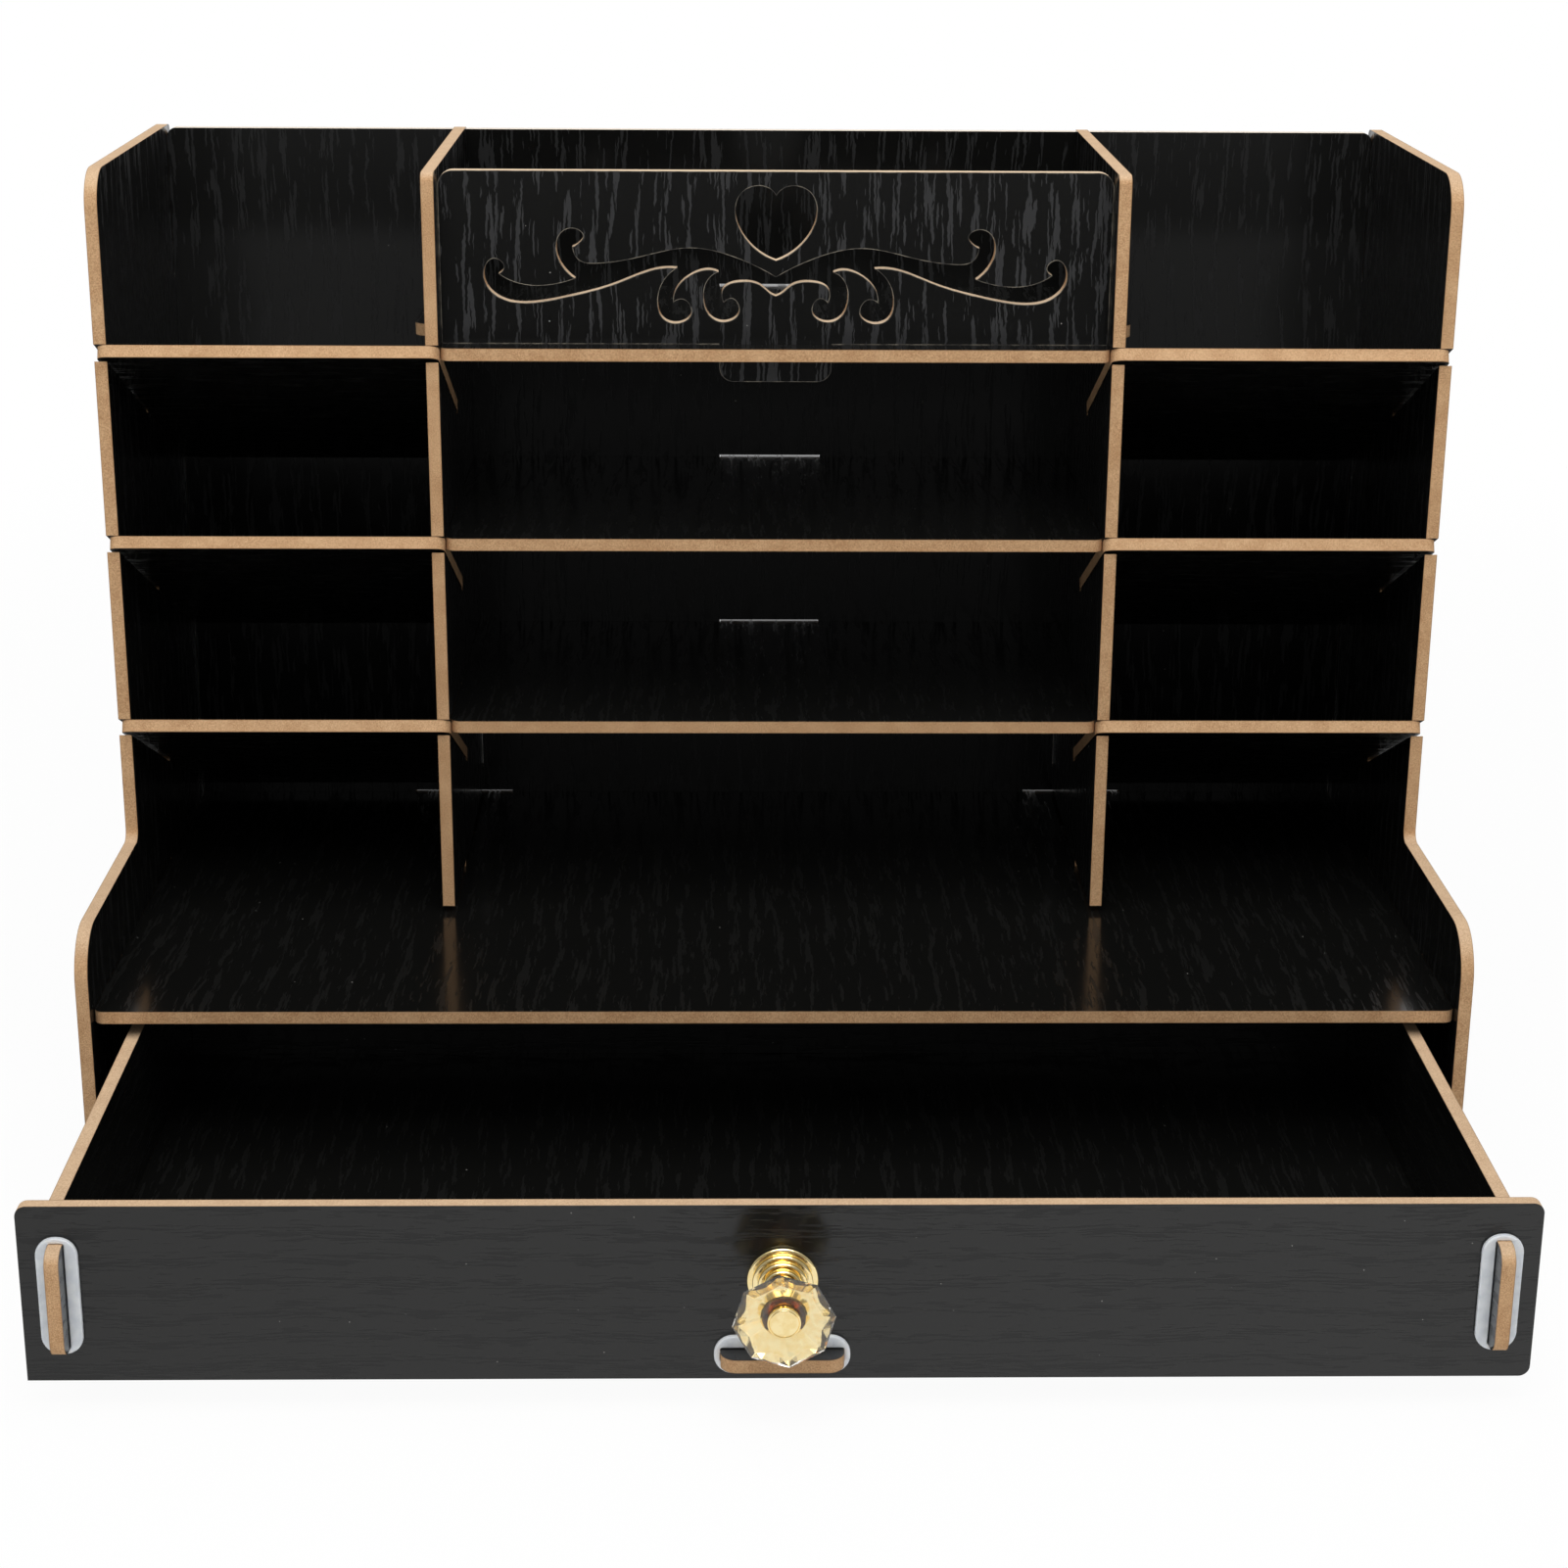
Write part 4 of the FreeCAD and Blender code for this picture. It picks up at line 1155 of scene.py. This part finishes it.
    def build_foil(self) -> Piece:
        """Fold the gold foil inside the crystal: a fluted bowl that opens to the front, its innermost rows
        dark amber with painted shade.

        Returns:
            The new object.
        """
        deep, rim = (self.end - drop for drop in self.foil_drops)
        widening = self.radius * self.foil_spread - self.foil_narrow
        count = self.sides * self.foil_flutes
        vertices = []
        for row in range(self.foil_rows + 1):
            share = row / self.foil_rows
            for step in range(count):
                within = step % self.foil_flutes / self.foil_flutes
                lean = math.cos(math.pi / self.sides) / math.cos(math.pi / self.sides * (2 * within - 1))
                ripple = 1 - self.foil_ripple * share * (step % 2)
                radius = (self.foil_narrow + widening * share**self.foil_flare) * (1 - share + share * lean)
                angle = self.twist + 2 * math.pi * step / count
                vertices.append(self.point(radius * ripple, angle, deep + (rim - deep) * share))
        faces = loop_faces(self.foil_rows + 1, count)
        piece = make_piece("crystal_foil", vertices, faces, self.foil.material(), None)
        # Painted shade: the innermost rows of the foil take the dark amber
        piece.data.materials.append(self.amber_shade_paint.material())
        for face in piece.data.polygons[:self.amber_shaded_rows * count]:
            face.material_index = 1
        return piece


@dataclass
class Holder:
    """The whole pen holder."""

    shelf_fall: float = 25.5
    heights: tuple[str, ...] = ("lower", "middle", "upper")
    sides: tuple[str, ...] = ("left", "right")

    def build(self) -> None:
        """Dress the boards and make the rings and the knob."""
        seed = 1
        for group in self.groups():
            seed = group.dress(seed)
        # Painted highlight along the front edges of the carved panel
        HighlightLine("carved_panel").build(PaintedEdgeHighlight().material())
        plastic = MilkyPlastic().material()
        for name in sorted(frame["nodes"]):
            if name.endswith("_ring"):
                LockingRing(name).build(plastic)
        TurnedKnob().build()
        CrystalHead().build()

    def groups(self) -> list[Boards]:
        """Sort the boards by the way they face, the run of their grain and their finish.

        Returns:
            The groups, in the order in which they are dressed.
        """
        level = BoardFinish(pore=linear(22, 22, 21), pore_roughness=0.3)
        # The uprights get painted shade on the walls of their slots
        upright = BoardFinish(pore=linear(22, 22, 22), slot_fall=self.shelf_fall)
        drawer_side = BoardFinish(pore=linear(18, 18, 17), pore_roughness=0.3)
        # The back and carved panels get a stronger painted top light on the edges that face up
        back = BoardFinish(
            pore=linear(20, 20, 20), pore_roughness=0.5, painted_top_light=linear(255, 246, 232), painted_top_light_share=0.7,
        )
        # Painted light: the carved panel faces the front light and gets brighter pores than the other
        # boards
        carved = BoardFinish(pore=linear(46, 46, 47), painted_top_light=linear(253, 236, 208), painted_top_light_share=0.4)
        # Painted shade: the drawer face gets darker pores, in place of the shadows in its pores
        drawer_face = BoardFinish(
            pore=linear(13, 13, 13), pore_size=(0.5 * MM, 9 * MM), jag=0.4 * MM, sparsity=0.64,
            dust_share=0.6, dust_spacing=4.5 * MM,
        )
        uprights = [f"{side}_{kind}" for kind in ("side_panel", "divider") for side in self.sides]
        centre_shelves = [f"{height}_centre_shelf" for height in self.heights]
        slanted = [f"{side}_{height}_shelf" for side in self.sides for height in self.heights]
        drawer_sides = [f"drawer_{side}_side" for side in self.sides]
        return [
            Boards(tuple(uprights), Axis.X, Axis.Z, finish=upright),
            Boards(("back_panel",), Axis.Y, Axis.Z, finish=back),
            Boards(("carved_panel",), Axis.Y, Axis.Z, finish=carved),
            Boards(("front_shelf", "base_board", "drawer_bottom"), Axis.Z, Axis.Y, finish=level),
            Boards(tuple(centre_shelves), Axis.Z, Axis.Y, finish=level),
            Boards(tuple(slanted), Axis.Z, Axis.X, self.shelf_fall, level),
            Boards(("drawer_front", "drawer_back"), Axis.Y, Axis.X, finish=drawer_face),
            Boards(tuple(drawer_sides), Axis.X, Axis.Y, finish=drawer_side),
        ]


@dataclass(frozen=True)
class Lamp:
    """A square lamp of some size and power that hangs at a place and shines on a target."""

    name: str
    place: tuple[float, float, float]
    size: float
    power: float
    target: tuple[float, float, float] = (0.0, -0.1, 0.1)

    def hang(self) -> None:
        """Add the lamp to the scene."""
        light = bpy.data.lights.new(self.name, "AREA")
        light.shape = "SQUARE"
        light.size = self.size
        light.energy = self.power
        lamp = bpy.data.objects.new(self.name, light)
        lamp.location = self.place
        aim = Vector(self.target) - Vector(self.place)
        lamp.rotation_euler = aim.to_track_quat("-Z", "Y").to_euler()
        bpy.context.scene.collection.objects.link(lamp)


@dataclass
class Studio:
    """Pale floor, soft light and the photograph's camera.

    Mirrored rays find the floor and the room dim in front, as the photograph's reflections do.
    """

    floor_front: float = -2.2
    floor_back: float = 2.6
    floor_half: float = 3.0
    sweep_radius: float = 1.2
    sweep_steps: int = 24
    wall_height: float = 4.0
    floor_colour: Colour = (0.93, 0.93, 0.93, 1.0)
    floor_tone: Colour = (0.95, 0.95, 0.95, 1.0)
    floor_scale: float = 3.0
    floor_rough: float = 0.6
    lit_span: Span = (-0.56, -0.44)
    lit_spread: float = 0.9
    lit_lean: float = 0.45
    lit_level: float = 0.93
    unlit: float = 0.075
    shadow_lift: float = 0.95
    shadow_span: Span = (0.35, 0.8)

    fill: float = 0.34
    bright_room: float = 0.95
    dim_room: float = 0.28
    behind_span: Span = (-0.35, 0.2)
    above_span: Span = (0.62, 0.8)
    lamps: tuple[Lamp, ...] = (
        Lamp("top_lamp", (0.0, -0.42, 0.95), 0.9, 6.0),
        Lamp("front_lamp", (0.0, -1.25, 1.35), 0.6, 4.2),
    )

    camera_place: tuple[float, float, float] = (-11.94 * MM, -824.48 * MM, 336.6 * MM)
    yaw: float = math.radians(1.15)
    pitch: float = math.radians(18.67)
    roll: float = math.radians(0.40)
    focal_pixels: float = 3078.2
    sensor_width: float = 36.0
    clip_start: float = 0.01

    def build(self) -> None:
        """Set up the floor, the world, the lamps and the camera."""
        self.build_floor()
        self.build_world()
        for lamp in self.lamps:
            lamp.hang()
        self.build_camera()
        bpy.context.scene.view_settings.view_transform = "Standard"

    def build_floor(self) -> None:
        """Make a floor that sweeps up behind the object."""
        centre = (self.floor_back - self.sweep_radius, self.sweep_radius)
        sweep = arc(centre, self.sweep_radius, -90, 0, self.sweep_steps)
        profile = [(self.floor_front, 0.0), *sweep, (self.floor_back, self.wall_height)]
        vertices = []
        for side in (-self.floor_half, self.floor_half):
            vertices += [Vector((side, *point)) for point in profile]
        count = len(profile)
        faces = [(step, step + 1, count + step + 1, count + step) for step in range(count - 1)]
        make_piece("floor", vertices, faces, self.floor_material())

    @staticmethod
    def rays(shader: Shader) -> tuple[Socket, Socket, Socket]:
        """Tell the kinds of rays apart.

        Args:
            shader: The tree to draw in.

        Returns:
            Whether a ray comes from the camera, whether it is mirrored or goes through the crystal,
            and whether it goes through the crystal.
        """
        path = shader.add("LightPath").outputs
        through = path["Is Transmission Ray"]
        return path["Is Camera Ray"], shader.math("MAXIMUM", path["Is Glossy Ray"], through), through

    def floor_material(self) -> Material:
        """Make the floor's paint: nearly white with a soft shadow, and unlit further in front.

        Returns:
            The material.
        """
        shader = new_shader("pale_floor")
        direct, mirrored, through = self.rays(shader)
        place = shader.place()
        aside, ahead, _ = shader.split(place)
        spread = shader.math("MULTIPLY_ADD", shader.math("ABSOLUTE", aside), self.lit_spread, ahead)
        lit = shader.math("MAXIMUM", shader.step(spread, self.lit_span), through)
        lean = shader.math("MULTIPLY_ADD", aside, self.lit_lean, self.lit_level)
        reflected = shader.math("MULTIPLY", shader.blend(lit, self.unlit, 1.0), lean)
        tone = shader.mix(shader.noise(place, self.floor_scale), self.floor_colour, self.floor_tone)
        paint = shader.add("BsdfDiffuse", Color=tone, Roughness=self.floor_rough)
        white = shader.add("Emission", Color=WHITE, Strength=shader.blend(mirrored, 1.0, reflected))
        away = shader.step(shader.vector("LENGTH", place, output="Value"), self.shadow_span)
        share = shader.math("MAXIMUM", shader.blend(away, self.shadow_lift, 1.0), mirrored)
        seen = shader.math("MULTIPLY", shader.math("MAXIMUM", direct, mirrored), share)
        both = shader.result("MixShader", {}, (seen, paint.outputs[0], white.outputs[0]))
        shader.add("OutputMaterial", Surface=both)
        return shader.owner

    def build_world(self) -> None:
        """Light the scene evenly, and show a white room that is dim low in front."""
        world = bpy.data.worlds.new("studio")
        bpy.context.scene.world = world
        shader = Shader(world)
        _, ahead, above = shader.split(shader.add("TexCoord").outputs["Generated"])
        direct, mirrored, through = self.rays(shader)
        is_above, is_behind = shader.step(above, self.above_span), shader.step(ahead, self.behind_span)
        bright = shader.math("MAXIMUM", shader.math("MAXIMUM", is_above, is_behind), through)
        level = shader.blend(mirrored, self.fill, shader.blend(bright, self.dim_room, self.bright_room))
        light = shader.add("Background", Color=WHITE, Strength=shader.blend(direct, level, 1.0))
        shader.add("OutputWorld", Surface=light.outputs[0])

    def build_camera(self) -> None:
        """Place the camera where the photograph was taken from."""
        flat = math.cos(self.pitch)
        ahead = Vector((math.sin(self.yaw) * flat, math.cos(self.yaw) * flat, -math.sin(self.pitch)))
        level = Vector((math.cos(self.yaw), -math.sin(self.yaw), 0))
        upright = level.cross(ahead)
        right = level * math.cos(self.roll) + upright * math.sin(self.roll)
        up = upright * math.cos(self.roll) - level * math.sin(self.roll)
        lens = bpy.data.cameras.new("camera")
        lens.sensor_width = self.sensor_width
        lens.lens = self.sensor_width * self.focal_pixels / PHOTO_SIDE
        lens.clip_start = self.clip_start
        camera = bpy.data.objects.new("camera", lens)
        turn = Matrix((right, up, -ahead)).transposed().to_4x4()
        camera.matrix_world = Matrix.Translation(self.camera_place) @ turn
        bpy.context.scene.collection.objects.link(camera)
        bpy.context.scene.camera = camera


def main() -> None:
    """Build the looks and report each piece."""
    logging.basicConfig(level=logging.INFO, format="%(name)s: %(message)s")
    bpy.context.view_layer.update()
    Holder().build()
    Studio().build()


if __name__ == "__main__":
    main()
